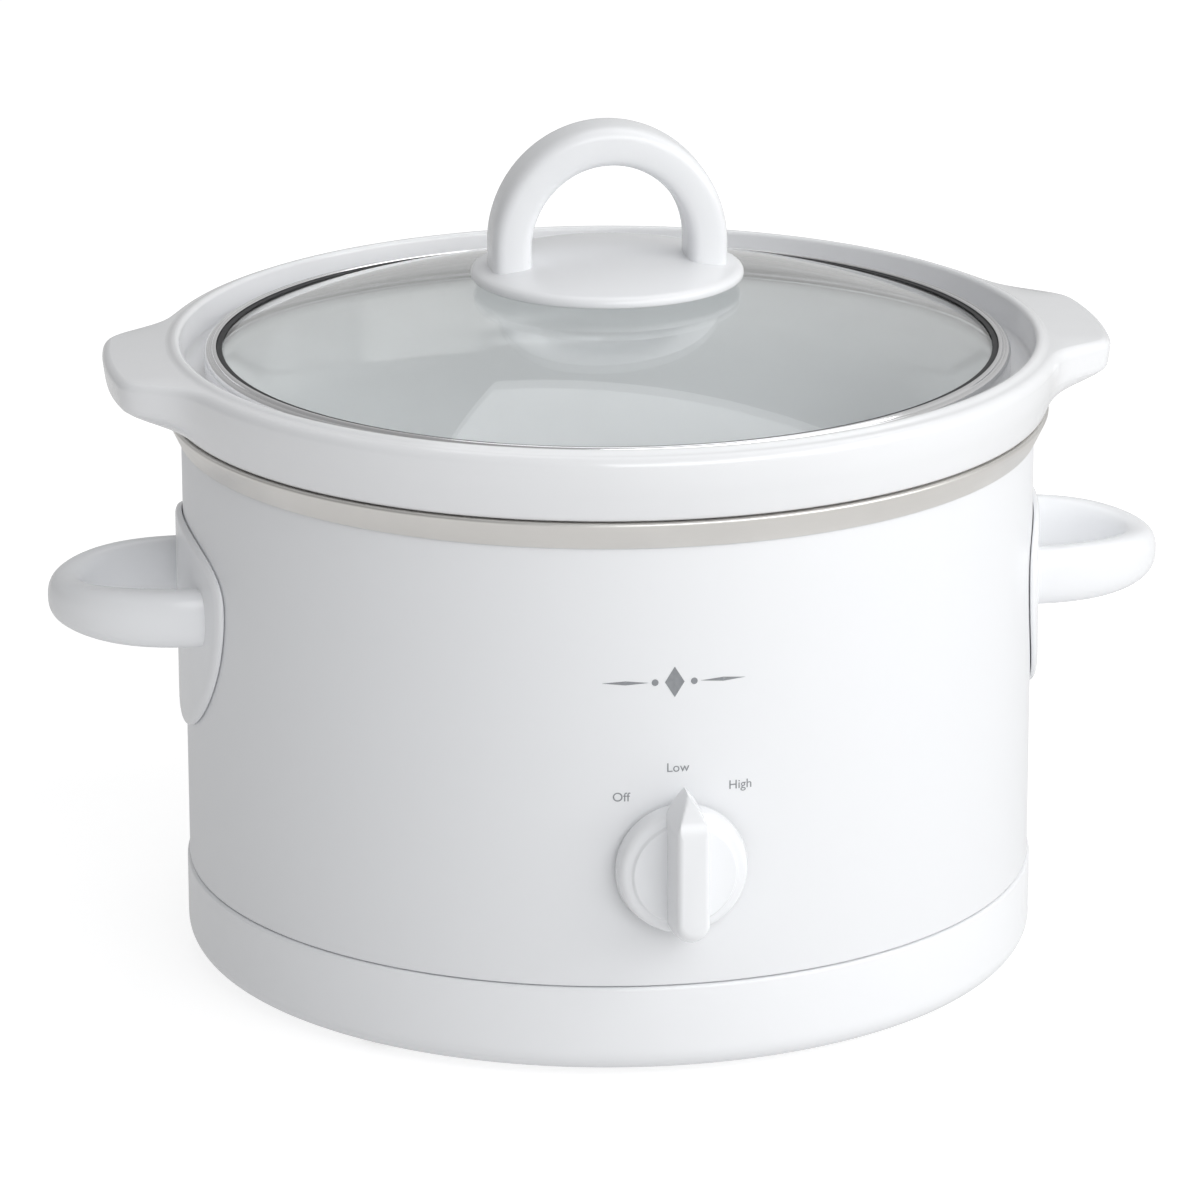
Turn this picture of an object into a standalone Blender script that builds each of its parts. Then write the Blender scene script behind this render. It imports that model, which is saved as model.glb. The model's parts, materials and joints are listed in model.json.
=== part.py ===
"""Round manual slow cooker: a steel-wrapped base, a lift-out stoneware crock, a glass lid and a dial.

Units are metres and +Z is up.  The dial faces -Y and the two side handles lie along X.  The origin is the
middle of the whole cooker's footprint, on the surface that it stands on, so the cooker's own round axis
stands AXIS_Y behind it.
"""

import math

import bmesh
import bpy
from mathutils import Matrix, Vector

MM = 0.001
GAP = 0.3 * MM  # clearance between pieces that touch

# Base: shell, ring and feet
SHELL_R = 118.0 * MM
SHELL_WALL = 0.8 * MM
RING_R = 118.7 * MM
RING_BOTTOM_Z = 2.4 * MM
SEAM_Z = 27.0 * MM
SHELL_TOP_Z = 152.5 * MM
FOOT_R = 4.5 * MM
FOOT_CIRCLE_R = 104.2 * MM

# Heater liner and the wrap-around element
LINER_WALL = 0.8 * MM
LINER_FLOOR_Z = 39.1 * MM
LINER_TOP_Z = 156.6 * MM
LINER_FLOOR_R = 99.0 * MM
LINER_MOUTH_R = 107.3 * MM
BAND_LOW_Z = 149.0 * MM
HEATER_LOW_Z = 78.0 * MM
HEATER_TOP_Z = 116.0 * MM
HEATER_THICK = 2.0 * MM

# Stoneware crock
CROCK_BOTTOM_Z = 43.0 * MM
COLLAR_LOW_Z = LINER_TOP_Z + GAP
COLLAR_TOP_Z = 176.0 * MM
COLLAR_R = 125.0 * MM
RECESS_R = 118.0 * MM
LEDGE_Z = 166.2 * MM
CROCK_WALL = 7.0 * MM
LUG_TIP_R = 139.4 * MM
LUG_SIDE_OFFSET = 91.7 * MM  # from the axis to the line of a lug's side
LUG_SIDE_DEG = 59.7
LUG_END_DEG = 21.0

# Lid
LID_R = 111.3 * MM
GLASS_THICK = 3.6 * MM
DOME_R = 310.0 * MM
GLASS_EDGE_R = 109.6 * MM
GLASS_EDGE_Z = 171.6 * MM
LID_FLANGE_R = 37.6 * MM
LID_FLANGE_Z = 191.8 * MM
LOOP_TOP_Z = 235.2 * MM
LOOP_HALF_X = 27.2 * MM
LOOP_THICK = 11.2 * MM
LOOP_DEPTH = 18.0 * MM

# Side handles
HANDLE_TIP_R = 156.3 * MM
HANDLE_Z = 107.2 * MM
HANDLE_HALF_Y = 25.5 * MM
HANDLE_THICK = 10.4 * MM
HANDLE_TALL = 16.2 * MM
HANDLE_TAPER = 0.22
PAD_TOP_Z = 128.2 * MM
PAD_WIDE_Z = 112.0 * MM
PAD_LOW_Z = 69.5 * MM
PAD_HALF_Y = 40.0 * MM
PAD_THICK = 1.8 * MM
SCREW_DEG = 12.4  # each side of a handle's middle, in its two legs

# Dial and switch
DIAL_Z = 61.0 * MM
DIAL_R = 17.8 * MM
DIAL_BACK_Y = 119.4 * MM
DIAL_SKIRT = 6.5 * MM
DIAL_BAR = 13.5 * MM
DIAL_BAR_HALF_X = 4.3 * MM
DIAL_POINT = 9.0 * MM
DIAL_NOSE = 10.5 * MM
DIAL_HEEL = 5.0 * MM
DIAL_POINTER = 23.6 * MM
SHAFT_R = 3.0 * MM

# Rear cord inlet
INLET_Z = 44.0 * MM
INLET_BORE_R = 3.6 * MM

DIAL_FRONT_R = DIAL_BACK_Y + DIAL_SKIRT + DIAL_BAR
AXIS_Y = (DIAL_FRONT_R - COLLAR_R) / 2
ROUND_SIDES = 60

FINISHES = {
    "white_plastic": ((0.86, 0.87, 0.89), 0.28, 0.0),
    "white_enamel": ((0.87, 0.87, 0.88), 0.35, 0.0),
    "stoneware_glaze": ((0.88, 0.88, 0.90), 0.12, 0.0),
    "dull_aluminium": ((0.62, 0.60, 0.57), 0.45, 1.0),
    "polished_steel": ((0.72, 0.72, 0.73), 0.15, 1.0),
    "zinc_steel": ((0.55, 0.56, 0.58), 0.40, 1.0),
    "clear_glass": ((0.90, 0.93, 0.92), 0.03, 0.0),
    "black_rubber": ((0.03, 0.03, 0.03), 0.70, 0.0),
    "silicone": ((0.75, 0.75, 0.74), 0.60, 0.0),
    "element_fabric": ((0.70, 0.66, 0.56), 0.85, 0.0),
    "lead_sleeve": ((0.80, 0.78, 0.72), 0.55, 0.0),
    "switch_plastic": ((0.08, 0.08, 0.09), 0.50, 0.0),
    "brass": ((0.75, 0.60, 0.30), 0.35, 1.0),
}


# ---------------------------------------------------------------- scene and objects


def clear_scene():
    for old in list(bpy.data.objects):
        bpy.data.objects.remove(old, do_unlink=True)


def make_finish(node, kind):
    colour, roughness, metallic = FINISHES[kind]
    finish = bpy.data.materials.new(f"{node}_{kind}")
    finish.use_nodes = True
    shader = finish.node_tree.nodes["Principled BSDF"]
    shader.inputs["Base Color"].default_value = (*colour, 1.0)
    shader.inputs["Roughness"].default_value = roughness
    shader.inputs["Metallic"].default_value = metallic
    if kind == "clear_glass":
        shader.inputs["Transmission Weight"].default_value = 1.0
    return finish


def add_empty(name, location, parent=None):
    empty = bpy.data.objects.new(name, None)
    empty.location = location
    empty.parent = parent
    bpy.context.scene.collection.objects.link(empty)
    return empty


def finish_mesh(bm, name):
    """The bmesh as a clean mesh: doubles merged, faces outwards, round parts shaded smooth."""
    bmesh.ops.remove_doubles(bm, verts=bm.verts, dist=1e-6)
    bmesh.ops.recalc_face_normals(bm, faces=bm.faces)
    mesh = bpy.data.meshes.new(name)
    bm.to_mesh(mesh)
    bm.free()
    mesh.shade_smooth()
    mesh.set_sharp_from_angle(angle=math.radians(35))
    return mesh


def add_piece(name, mesh, kind, parent, location=(0, 0, 0), rotation=(0, 0, 0)):
    piece = bpy.data.objects.new(name, mesh)
    piece.location = location
    piece.rotation_euler = rotation
    piece.parent = parent
    if not mesh.materials:
        mesh.materials.append(make_finish(name, kind))
    bpy.context.scene.collection.objects.link(piece)
    return piece


def combine(piece, other_mesh, operation, matrix=None):
    """A Boolean on the piece in its own axes.  The other shape stays as a hidden guide."""
    guide = bpy.data.objects.new(f"{piece.name}_{operation.lower()}_guide", other_mesh)
    guide.parent = piece
    guide.matrix_local = matrix or Matrix.Identity(4)
    guide.hide_render = True
    guide.display_type = "WIRE"
    bpy.context.scene.collection.objects.link(guide)
    modifier = piece.modifiers.new(operation.title(), "BOOLEAN")
    modifier.operation = operation
    modifier.solver = "EXACT"
    modifier.object = guide


# ---------------------------------------------------------------- outlines


def rounded(corners, steps=4):
    """Corners (x, y, fillet radius) made into an outline.  A corner with no radius stays sharp."""
    outline = []
    count = len(corners)
    for i, (x, y, fillet) in enumerate(corners):
        here = Vector((x, y))
        if fillet <= 0:
            outline.append((x, y))
            continue
        before = (Vector(corners[i - 1][:2]) - here).normalized()
        after = (Vector(corners[(i + 1) % count][:2]) - here).normalized()
        half = before.angle(after) / 2
        centre = here + (before + after).normalized() * (fillet / math.sin(half))
        first = here + before * (fillet / math.tan(half)) - centre
        last = here + after * (fillet / math.tan(half)) - centre
        start = math.atan2(first.y, first.x)
        turn = (math.atan2(last.y, last.x) - start + math.pi) % math.tau - math.pi
        for step in range(steps + 1):
            angle = start + turn * step / steps
            outline.append((centre.x + fillet * math.cos(angle), centre.y + fillet * math.sin(angle)))
    return outline


def sheet(line, thickness):
    """A bent sheet's closed outline: the line, and the same line offset to its left, going back."""
    points = [Vector(point) for point in line]
    runs = [(b - a).normalized() for a, b in zip(points, points[1:])]
    offset = []
    for i, point in enumerate(points):
        before = runs[max(i - 1, 0)]
        after = runs[min(i, len(runs) - 1)]
        across = Vector((-before.y - after.y, before.x + after.x)).normalized()
        reach = thickness / across.dot(Vector((-before.y, before.x)))
        offset.append(point + across * reach)
    return [tuple(point) for point in points + offset[::-1]]


def smooth_step(value):
    value = min(max(value, 0.0), 1.0)
    return value * value * (3 - 2 * value)


# ---------------------------------------------------------------- solids


def lathe(name, outline, spans=((360.0, ROUND_SIDES),), start_deg=0.0, shape=None):
    """An (r, z) outline turned about Z.  spans are (degrees, steps), and under a full turn the ends close.

    An outline that starts and ends on the axis stays open there.  shape, if given, moves each vertex.
    """
    bm = bmesh.new()
    corners = [bm.verts.new((r, 0.0, z)) for r, z in outline]
    on_axis = outline[0][0] < 1e-9 and outline[-1][0] < 1e-9
    pairs = list(zip(corners, corners[1:] + corners[:1]))
    edges = [bm.edges.new(pair) for pair in (pairs[:-1] if on_axis else pairs)]
    bmesh.ops.rotate(bm, verts=corners, matrix=Matrix.Rotation(math.radians(start_deg), 3, "Z"))
    ring = corners + edges
    for span, steps in spans:
        made = bmesh.ops.spin(
            bm, geom=ring, cent=(0, 0, 0), axis=(0, 0, 1), angle=math.radians(span), steps=steps
        )
        ring = made["geom_last"]
    bmesh.ops.remove_doubles(bm, verts=bm.verts, dist=1e-6)
    if sum(span for span, _ in spans) < 359.9:
        open_edges = [edge for edge in bm.edges if edge.is_boundary]
        bmesh.ops.holes_fill(bm, edges=open_edges, sides=0)
    if shape:
        for vertex in bm.verts:
            vertex.co = shape(vertex.co)
    return finish_mesh(bm, name)


def prism(name, outline, low, high):
    """An (x, y) outline extruded from z=low to z=high."""
    bm = bmesh.new()
    face = bm.faces.new([bm.verts.new((x, y, low)) for x, y in outline])
    raised = bmesh.ops.extrude_face_region(bm, geom=[face])["geom"]
    moved = [item for item in raised if isinstance(item, bmesh.types.BMVert)]
    bmesh.ops.translate(bm, verts=moved, vec=(0, 0, high - low))
    return finish_mesh(bm, name)


def cylinders(name, places, radius, length, sides=20):
    """Several equal cylinders, each on a (matrix) of its own, as one mesh for cutting holes."""
    bm = bmesh.new()
    for place in places:
        bmesh.ops.create_cone(
            bm, cap_ends=True, segments=sides, radius1=radius, radius2=radius, depth=length, matrix=place
        )
    return finish_mesh(bm, name)


def loft(name, rings):
    """Closed rings of points bridged in order, with the first and the last filled."""
    bm = bmesh.new()
    before = None
    for ring in rings:
        corners = [bm.verts.new(point) for point in ring]
        edges = [bm.edges.new(pair) for pair in zip(corners, corners[1:] + corners[:1])]
        if before:
            bmesh.ops.bridge_loops(bm, edges=before + edges)
        before = edges
    open_edges = [edge for edge in bm.edges if edge.is_boundary]
    bmesh.ops.holes_fill(bm, edges=open_edges, sides=0)
    return finish_mesh(bm, name)


def oval_section(half_wide, half_tall, fullness=2.8, sides=16):
    """A rounded-rectangle section, as (across, up) points.  fullness 2 is an ellipse."""
    points = []
    for step in range(sides):
        angle = math.tau * (step + 0.5) / sides
        across = math.copysign(abs(math.cos(angle)) ** (2 / fullness), math.cos(angle))
        up = math.copysign(abs(math.sin(angle)) ** (2 / fullness), math.sin(angle))
        points.append((half_wide * across, half_tall * up))
    return points


def bail(name, half_span, leg, rise, thick, tall, taper=0.0):
    """A D-shaped grip in the XZ plane: straight legs from z=0, then a half-oval.  tall is along Y.

    taper is the share of tall that is lost at the far end.
    """
    path = [Vector((half_span, 0.0, 0.0)), Vector((half_span, 0.0, leg * 0.6))]
    for step in range(15):
        angle = math.pi * step / 14
        path.append(Vector((half_span * math.cos(angle), 0.0, leg + rise * math.sin(angle))))
    path += [Vector((-half_span, 0.0, leg * 0.6)), Vector((-half_span, 0.0, 0.0))]
    section = oval_section(thick / 2, tall / 2)
    rings = []
    for i, point in enumerate(path):
        along = (path[min(i + 1, len(path) - 1)] - path[max(i - 1, 0)]).normalized()
        across = Vector((along.z, 0.0, -along.x))
        slim = 1 - taper * max(0.0, (point.z - leg) / rise) ** 4
        rings.append([point + across * a + Vector((0.0, b * slim, 0.0)) for a, b in section])
    return loft(name, rings)


def turned_to(axis, location=(0, 0, 0)):
    """A matrix that turns +Z to the axis and moves to the location."""
    turn = Vector((0, 0, 1)).rotation_difference(Vector(axis)).to_matrix().to_4x4()
    return Matrix.Translation(location) @ turn


def around(radius, z, angle_deg):
    angle = math.radians(angle_deg)
    return Vector((radius * math.cos(angle), radius * math.sin(angle), z))


# ---------------------------------------------------------------- base


def liner_radius(z):
    """Inner radius of the liner's tapering wall."""
    share = (z - LINER_FLOOR_Z - 9 * MM) / (LINER_TOP_Z - LINER_FLOOR_Z - 15 * MM)
    return LINER_FLOOR_R + (LINER_MOUTH_R - LINER_FLOOR_R) * share


def handle_screw_places():
    """(name, angle about the axis) of each of the four handle screws, which point outwards into the legs."""
    places = [("right_front", -SCREW_DEG), ("right_rear", SCREW_DEG)]
    return places + [("left_front", 180 + SCREW_DEG), ("left_rear", 180 - SCREW_DEG)]


def facing_out(radius, z, angle_deg):
    """A matrix whose Z points away from the cooker's axis."""
    angle = math.radians(angle_deg)
    return turned_to((math.cos(angle), math.sin(angle), 0), around(radius, z, angle_deg))


def add_shell(axis):
    outline = [
        (SHELL_R - SHELL_WALL, SEAM_Z + GAP),
        (SHELL_R, SEAM_Z + GAP),
        (SHELL_R, SHELL_TOP_Z),
        (SHELL_R - SHELL_WALL, SHELL_TOP_Z),
    ]
    shell = add_piece("outer_shell", lathe("outer_shell", outline), "white_enamel", axis)
    holes = [facing_out(SHELL_R, HANDLE_Z, angle) for _, angle in handle_screw_places()]
    combine(shell, cylinders("shell_screw_holes", holes, 2.4 * MM, 20 * MM, 12), "DIFFERENCE")
    front = [turned_to((0, -1, 0), (0, -SHELL_R, DIAL_Z))]
    combine(shell, cylinders("shell_switch_hole", front, 5.0 * MM, 20 * MM), "DIFFERENCE")
    rear = [turned_to((0, 1, 0), (0, SHELL_R, INLET_Z))]
    combine(shell, cylinders("shell_inlet_hole", rear, 6.2 * MM, 20 * MM), "DIFFERENCE")


def add_base_ring(axis):
    lip_r = SHELL_R - SHELL_WALL - GAP
    outline = rounded(
        [
            (RING_R, SEAM_Z, 0.8 * MM),
            (RING_R, RING_BOTTOM_Z, 7.0 * MM),
            (99.0 * MM, RING_BOTTOM_Z, 0.0),
            (99.0 * MM, 6.7 * MM, 0.0),
            (91.0 * MM, 6.7 * MM, 0.0),
            (91.0 * MM, 8.9 * MM, 0.0),
            (114.2 * MM, 8.9 * MM, 4.0 * MM),
            (114.2 * MM, 31.0 * MM, 0.0),
            (lip_r, 31.0 * MM, 0.0),
            (lip_r, SEAM_Z, 0.0),
        ],
        3,
    )
    ring = add_piece("base_ring", lathe("base_ring", outline), "white_plastic", axis)
    pockets = [Matrix.Translation(around(FOOT_CIRCLE_R, RING_BOTTOM_Z, 45 + 90 * i)) for i in range(4)]
    combine(ring, cylinders("foot_pockets", pockets, FOOT_R + GAP, 2.4 * MM, 16), "DIFFERENCE")


def add_feet(axis):
    top = RING_BOTTOM_Z + 1.2 * MM - GAP
    outline = [(0, top), (FOOT_R, top), (FOOT_R, 1.2 * MM), (FOOT_R - 1.2 * MM, 0.0), (0, 0)]
    mesh = lathe("foot", outline, ((360.0, 16),))
    for i, place in enumerate(("rear_right", "rear_left", "front_left", "front_right")):
        add_piece(f"foot_{place}", mesh, "black_rubber", axis, around(FOOT_CIRCLE_R, 0, 45 + 90 * i))


def add_bottom_plate(axis):
    line = [(3.4, 9.2), (26, 9.2), (36, 5.5), (98.4, 5.5)]
    outline = sheet([(r * MM, z * MM) for r, z in line], 0.9 * MM)
    plate = add_piece("bottom_plate", lathe("bottom_plate", outline, ((360.0, 40),)), "zinc_steel", axis)
    vents = [Matrix.Translation(around(68 * MM, 6 * MM, 22.5 + 45 * i)) for i in range(8)]
    combine(plate, cylinders("vents", vents, 4.0 * MM, 6 * MM, 8), "DIFFERENCE")


def add_centre_fixing(axis):
    head = (LINER_FLOOR_Z - GAP) / MM
    stud = [(0, head), (8, head), (8, head - 1.2), (2.5, head - 1.2), (2.5, 3.4), (0, 3.4)]
    stud_mesh = lathe("centre_stud", [(r * MM, z * MM) for r, z in stud], ((360.0, 16),))
    add_piece("centre_stud", stud_mesh, "zinc_steel", axis)
    washer = [(2.8, 8.9), (7.0, 8.9), (7.0, 7.9), (2.8, 7.9)]
    washer_mesh = lathe("centre_washer", [(r * MM, z * MM) for r, z in washer], ((360.0, 20),))
    add_piece("centre_washer", washer_mesh, "zinc_steel", axis)
    nut = [(3.1, 7.6), (4.8, 7.6), (4.8, 4.2), (3.1, 4.2)]
    nut_mesh = lathe("centre_nut", [(r * MM, z * MM) for r, z in nut], ((360.0, 6),))
    add_piece("centre_nut", nut_mesh, "zinc_steel", axis)


def add_liner(axis):
    mouth_r = LINER_MOUTH_R
    line = rounded(
        [
            (0.0, LINER_FLOOR_Z, 0.0),
            (LINER_FLOOR_R, LINER_FLOOR_Z, 9.0 * MM),
            (mouth_r, LINER_TOP_Z - LINER_WALL, 3.0 * MM),
            (SHELL_R + 4.4 * MM, LINER_TOP_Z - LINER_WALL, 1.4 * MM),
            (SHELL_R + 0.75 * MM, BAND_LOW_Z, 0.0),
        ],
        2,
    )
    add_piece("heater_liner", lathe("heater_liner", sheet(line, LINER_WALL)), "dull_aluminium", axis)


def heater_radius(z):
    """Inner radius of the wrap-around element, a little clear of the liner's wall."""
    return liner_radius(z) + LINER_WALL + 0.8 * MM


def add_heating_band(axis):
    """The element is a split band.  A steel strap bridges its two ends at the back."""
    inner = [(heater_radius(z), z) for z in (HEATER_LOW_Z, HEATER_TOP_Z)]
    outer = [(r + HEATER_THICK, z) for r, z in inner[::-1]]
    split = 6.0
    band = lathe("heating_band", inner + outer, ((360.0 - 2 * split, 48),), start_deg=90 + split)
    add_piece("heating_band", band, "element_fabric", axis)
    ends = (HEATER_TOP_Z - 8 * MM, HEATER_LOW_Z + 8 * MM)
    line = [(heater_radius(z) + HEATER_THICK + GAP, z) for z in ends]
    strap = lathe("heater_clamp", sheet(line, 0.8 * MM), ((6 * split, 10),), start_deg=90 - 3 * split)
    add_piece("heater_clamp", strap, "zinc_steel", axis)


def add_thermal_fuse(axis):
    centre = around(liner_radius(64 * MM) + 4.2 * MM, 57 * MM, -60)
    body = [(0, 12), (1.2, 12), (2.0, 11), (2.0, 1), (1.2, 0), (0, 0)]
    mesh = lathe("thermal_fuse", [(r * MM, z * MM) for r, z in body], ((360.0, 12),))
    add_piece("thermal_fuse", mesh, "zinc_steel", axis, centre)
    clip = [(2.3, 9), (2.9, 9), (2.9, 3), (2.3, 3)]
    clip_mesh = lathe("fuse_clip", [(r * MM, z * MM) for r, z in clip], ((300.0, 10),), start_deg=-30)
    add_piece("fuse_clip", clip_mesh, "brass", axis, centre)


def add_switch(axis):
    """The rotary switch stands behind the shell.  Its threaded neck comes through, and a nut holds it."""
    inside = SHELL_R - SHELL_WALL
    half_x = 12 * MM
    half_z = 11 * MM
    corners = [(half_x, half_z), (-half_x, half_z), (-half_x, -half_z), (half_x, -half_z)]
    box = rounded([(x, y, 2 * MM) for x, y in corners], 2)
    place = (0, -(inside - 13.5 * MM), DIAL_Z)
    face = (math.pi / 2, 0, 0)
    housing = add_piece(
        "switch_housing", prism("switch_housing", box, 0, 12 * MM), "switch_plastic", axis, place, face
    )
    neck = [Matrix.Translation((0, 0, 13.4 * MM))]
    combine(housing, cylinders("switch_neck", neck, 4.6 * MM, 8.8 * MM), "UNION")
    bore = [Matrix.Translation((0, 0, 14 * MM))]
    combine(housing, cylinders("switch_bore", bore, SHAFT_R + GAP, 20 * MM, 16), "DIFFERENCE")
    nut = [(5.6, 2.2), (8.2, 2.2), (8.2, 0), (5.6, 0)]
    nut_mesh = lathe("switch_nut", [(r * MM, z * MM) for r, z in nut], ((360.0, 6),))
    add_piece("switch_nut", nut_mesh, "zinc_steel", axis, (0, -(SHELL_R + 0.5 * MM), DIAL_Z), face)
    blade = [(2.4, 3.2), (-2.4, 3.2), (-2.4, -3.2), (2.4, -3.2)]
    for number, x in enumerate((-6 * MM, 6 * MM), 1):
        mesh = prism(f"switch_terminal_{number}", [(a * MM, b * MM / 8) for a, b in blade], 0, 7 * MM)
        low = (x, place[1] - 5 * MM, DIAL_Z - half_z - GAP - 7 * MM)
        add_piece(f"switch_terminal_{number}", mesh, "brass", axis, low)


def add_leads(axis):
    """Three sleeved leads inside the base, on arcs round the space under the liner."""
    lead_r = 1.3 * MM
    routes = {
        "lead_inlet_to_switch": (88, -86.6, 102.0, 24, 36),
        "lead_inlet_to_fuse": (92, 300, 104.5, 32, 50),
        "lead_switch_to_heater": (-93.4, -180, 107.5, 30, 74),
    }
    for name, (start, end, radius, low_z, end_z) in routes.items():
        route = []
        for step in range(21):
            share = step / 20
            rise = smooth_step((share - 0.78) / 0.22)
            height = low_z * MM + (end_z - low_z) * MM * rise
            route.append(around(radius * MM, height, start + (end - start) * share))
        line = bpy.data.curves.new(name, "CURVE")
        line.dimensions = "3D"
        line.bevel_depth = lead_r
        line.bevel_resolution = 2
        line.use_fill_caps = True
        spline = line.splines.new("POLY")
        spline.points.add(len(route) - 1)
        for point, place in zip(spline.points, route):
            point.co = (*place, 1.0)
        lead = bpy.data.objects.new(name, line)
        lead.parent = axis
        line.materials.append(make_finish(name, "lead_sleeve"))
        bpy.context.scene.collection.objects.link(lead)


def add_inlet(axis):
    """A flanged bush at the back of the shell that the mains lead would come through."""
    outline = [
        (INLET_BORE_R, 3.0 * MM),
        (5.4 * MM, 3.0 * MM),
        (8.5 * MM, 1.6 * MM),
        (8.5 * MM, 0.5 * MM),
        (5.8 * MM, 0.5 * MM),
        (5.8 * MM, -2.6 * MM),
        (7.6 * MM, -2.6 * MM),
        (7.6 * MM, -4.2 * MM),
        (INLET_BORE_R, -4.2 * MM),
    ]
    mesh = lathe("cord_inlet_bush", outline, ((360.0, 16),))
    place = (0, SHELL_R, INLET_Z)
    add_piece("cord_inlet_bush", mesh, "black_rubber", axis, place, (-math.pi / 2, 0, 0))


# ---------------------------------------------------------------- side handles


def pad_half_width(z):
    """Half width of a handle's mounting pad: broad shoulders, nearly level on top, and a long taper below."""
    if z >= PAD_WIDE_Z:
        share = (z - PAD_WIDE_Z) / (PAD_TOP_Z - PAD_WIDE_Z)
        return PAD_HALF_Y * (1 - share**2.6) ** 0.47
    share = (PAD_WIDE_Z - z) / (PAD_WIDE_Z - PAD_LOW_Z)
    return PAD_HALF_Y * (1 - share**1.9) ** 0.55


def pad_outline():
    """The pad's outline as (y, z), up one side and down the other."""
    steps = 16
    heights = []
    for step in range(steps + 1):
        share = 0.5 - 0.5 * math.cos(math.pi * step / steps)
        heights.append(PAD_LOW_Z + (PAD_TOP_Z - PAD_LOW_Z) * share)
    side = [(pad_half_width(z), z) for z in heights[1:-1]]
    return [(0.0, PAD_LOW_Z)] + side + [(0.0, PAD_TOP_Z)] + [(-y, z) for y, z in side[::-1]]


def handle_meshes():
    """The pad, wrapped round the shell, with the grip and the two screw holes, all on the +X side."""
    inner = SHELL_R + GAP
    pad = lathe(
        "side_handle",
        [(inner, PAD_LOW_Z), (inner + PAD_THICK, PAD_LOW_Z), (inner + PAD_THICK, PAD_TOP_Z), (inner, PAD_TOP_Z)],
        ((46.0, 14),),
        start_deg=-23,
    )
    turn = Matrix(((0, 0, 1, 0), (1, 0, 0, 0), (0, 1, 0, 0), (0, 0, 0, 1)))
    outline = prism("pad_outline", pad_outline(), 100 * MM, 135 * MM)
    outline.transform(turn)
    legs = 4.0 * MM
    start_x = inner - 3.4 * MM
    rise = HANDLE_TIP_R - HANDLE_THICK / 2 - start_x - legs
    grip = bail("side_grip", HANDLE_HALF_Y, legs, rise, HANDLE_THICK, HANDLE_TALL, HANDLE_TAPER)
    # The grip is made upright, along X.  It is turned to lie flat, with its legs along Y.
    flat = Matrix(((0, 0, 1, start_x), (1, 0, 0, 0), (0, 1, 0, HANDLE_Z), (0, 0, 0, 1)))
    grip.transform(flat)
    hollow = lathe("handle_hollow", [(0, 0), (inner, 0), (inner, SHELL_TOP_Z), (0, SHELL_TOP_Z)])
    bores = [facing_out(inner, HANDLE_Z, angle) for angle in (-SCREW_DEG, SCREW_DEG)]
    holes = cylinders("handle_screw_bores", bores, 1.9 * MM, 13.0 * MM, 12)
    return pad, outline, grip, hollow, holes


def add_handles(axis):
    pad, outline, grip, hollow, holes = handle_meshes()
    for name, turn in (("right_handle", 0.0), ("left_handle", math.pi)):
        handle = add_piece(name, pad, "white_plastic", axis, rotation=(0, 0, turn))
        combine(handle, outline, "INTERSECT")
        combine(handle, grip, "UNION")
        combine(handle, hollow, "DIFFERENCE")
        combine(handle, holes, "DIFFERENCE")


def add_handle_screws(axis):
    inside = -SHELL_WALL - GAP
    outline = [(0, 6.4 * MM), (1.6 * MM, 6.4 * MM), (1.6 * MM, inside), (3.6 * MM, inside)]
    outline += [(3.6 * MM, inside - 1.0 * MM), (2.4 * MM, inside - 2.2 * MM), (0, inside - 2.2 * MM)]
    mesh = lathe("handle_screw", outline, ((360.0, 10),))
    for place, angle in handle_screw_places():
        spot = around(SHELL_R, HANDLE_Z, angle)
        add_piece(f"handle_screw_{place}", mesh, "zinc_steel", axis, spot, (0, math.pi / 2, math.radians(angle)))


# ---------------------------------------------------------------- crock


def blend_high(a, b, soft):
    """The higher of two values, with a smooth change of about soft between them."""
    return soft * math.log(math.exp((a - b) / soft) + 1) + b


def lug_radius(angle_deg):
    """The collar's outline seen from above: a round end with two slanted sides on +X and on -X, then the collar."""
    away = math.radians(min(abs(angle_deg), 180 - abs(angle_deg)))
    side = LUG_SIDE_OFFSET / math.cos(max(0.0, math.radians(LUG_SIDE_DEG) - away))
    tab = -blend_high(-LUG_TIP_R, -side, 2.0 * MM)
    return blend_high(tab, COLLAR_R, 1.8 * MM)


def with_lugs(point):
    """Pulls the collar's outer face out at the two sides, more at the top than at the bottom."""
    radius = math.hypot(point.x, point.y)
    if radius < RECESS_R + 4.0 * MM or point.z < COLLAR_LOW_Z + 0.2 * MM:
        return point
    out = lug_radius(math.degrees(math.atan2(point.y, point.x))) - COLLAR_R
    rise = smooth_step((point.z - COLLAR_LOW_Z) / (9.5 * MM))
    scale = 1 + out * rise / radius
    drop = 0.06 * out * smooth_step((point.z - (COLLAR_TOP_Z - 6 * MM)) / (6 * MM))
    return Vector((point.x * scale, point.y * scale, point.z - drop))


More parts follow.
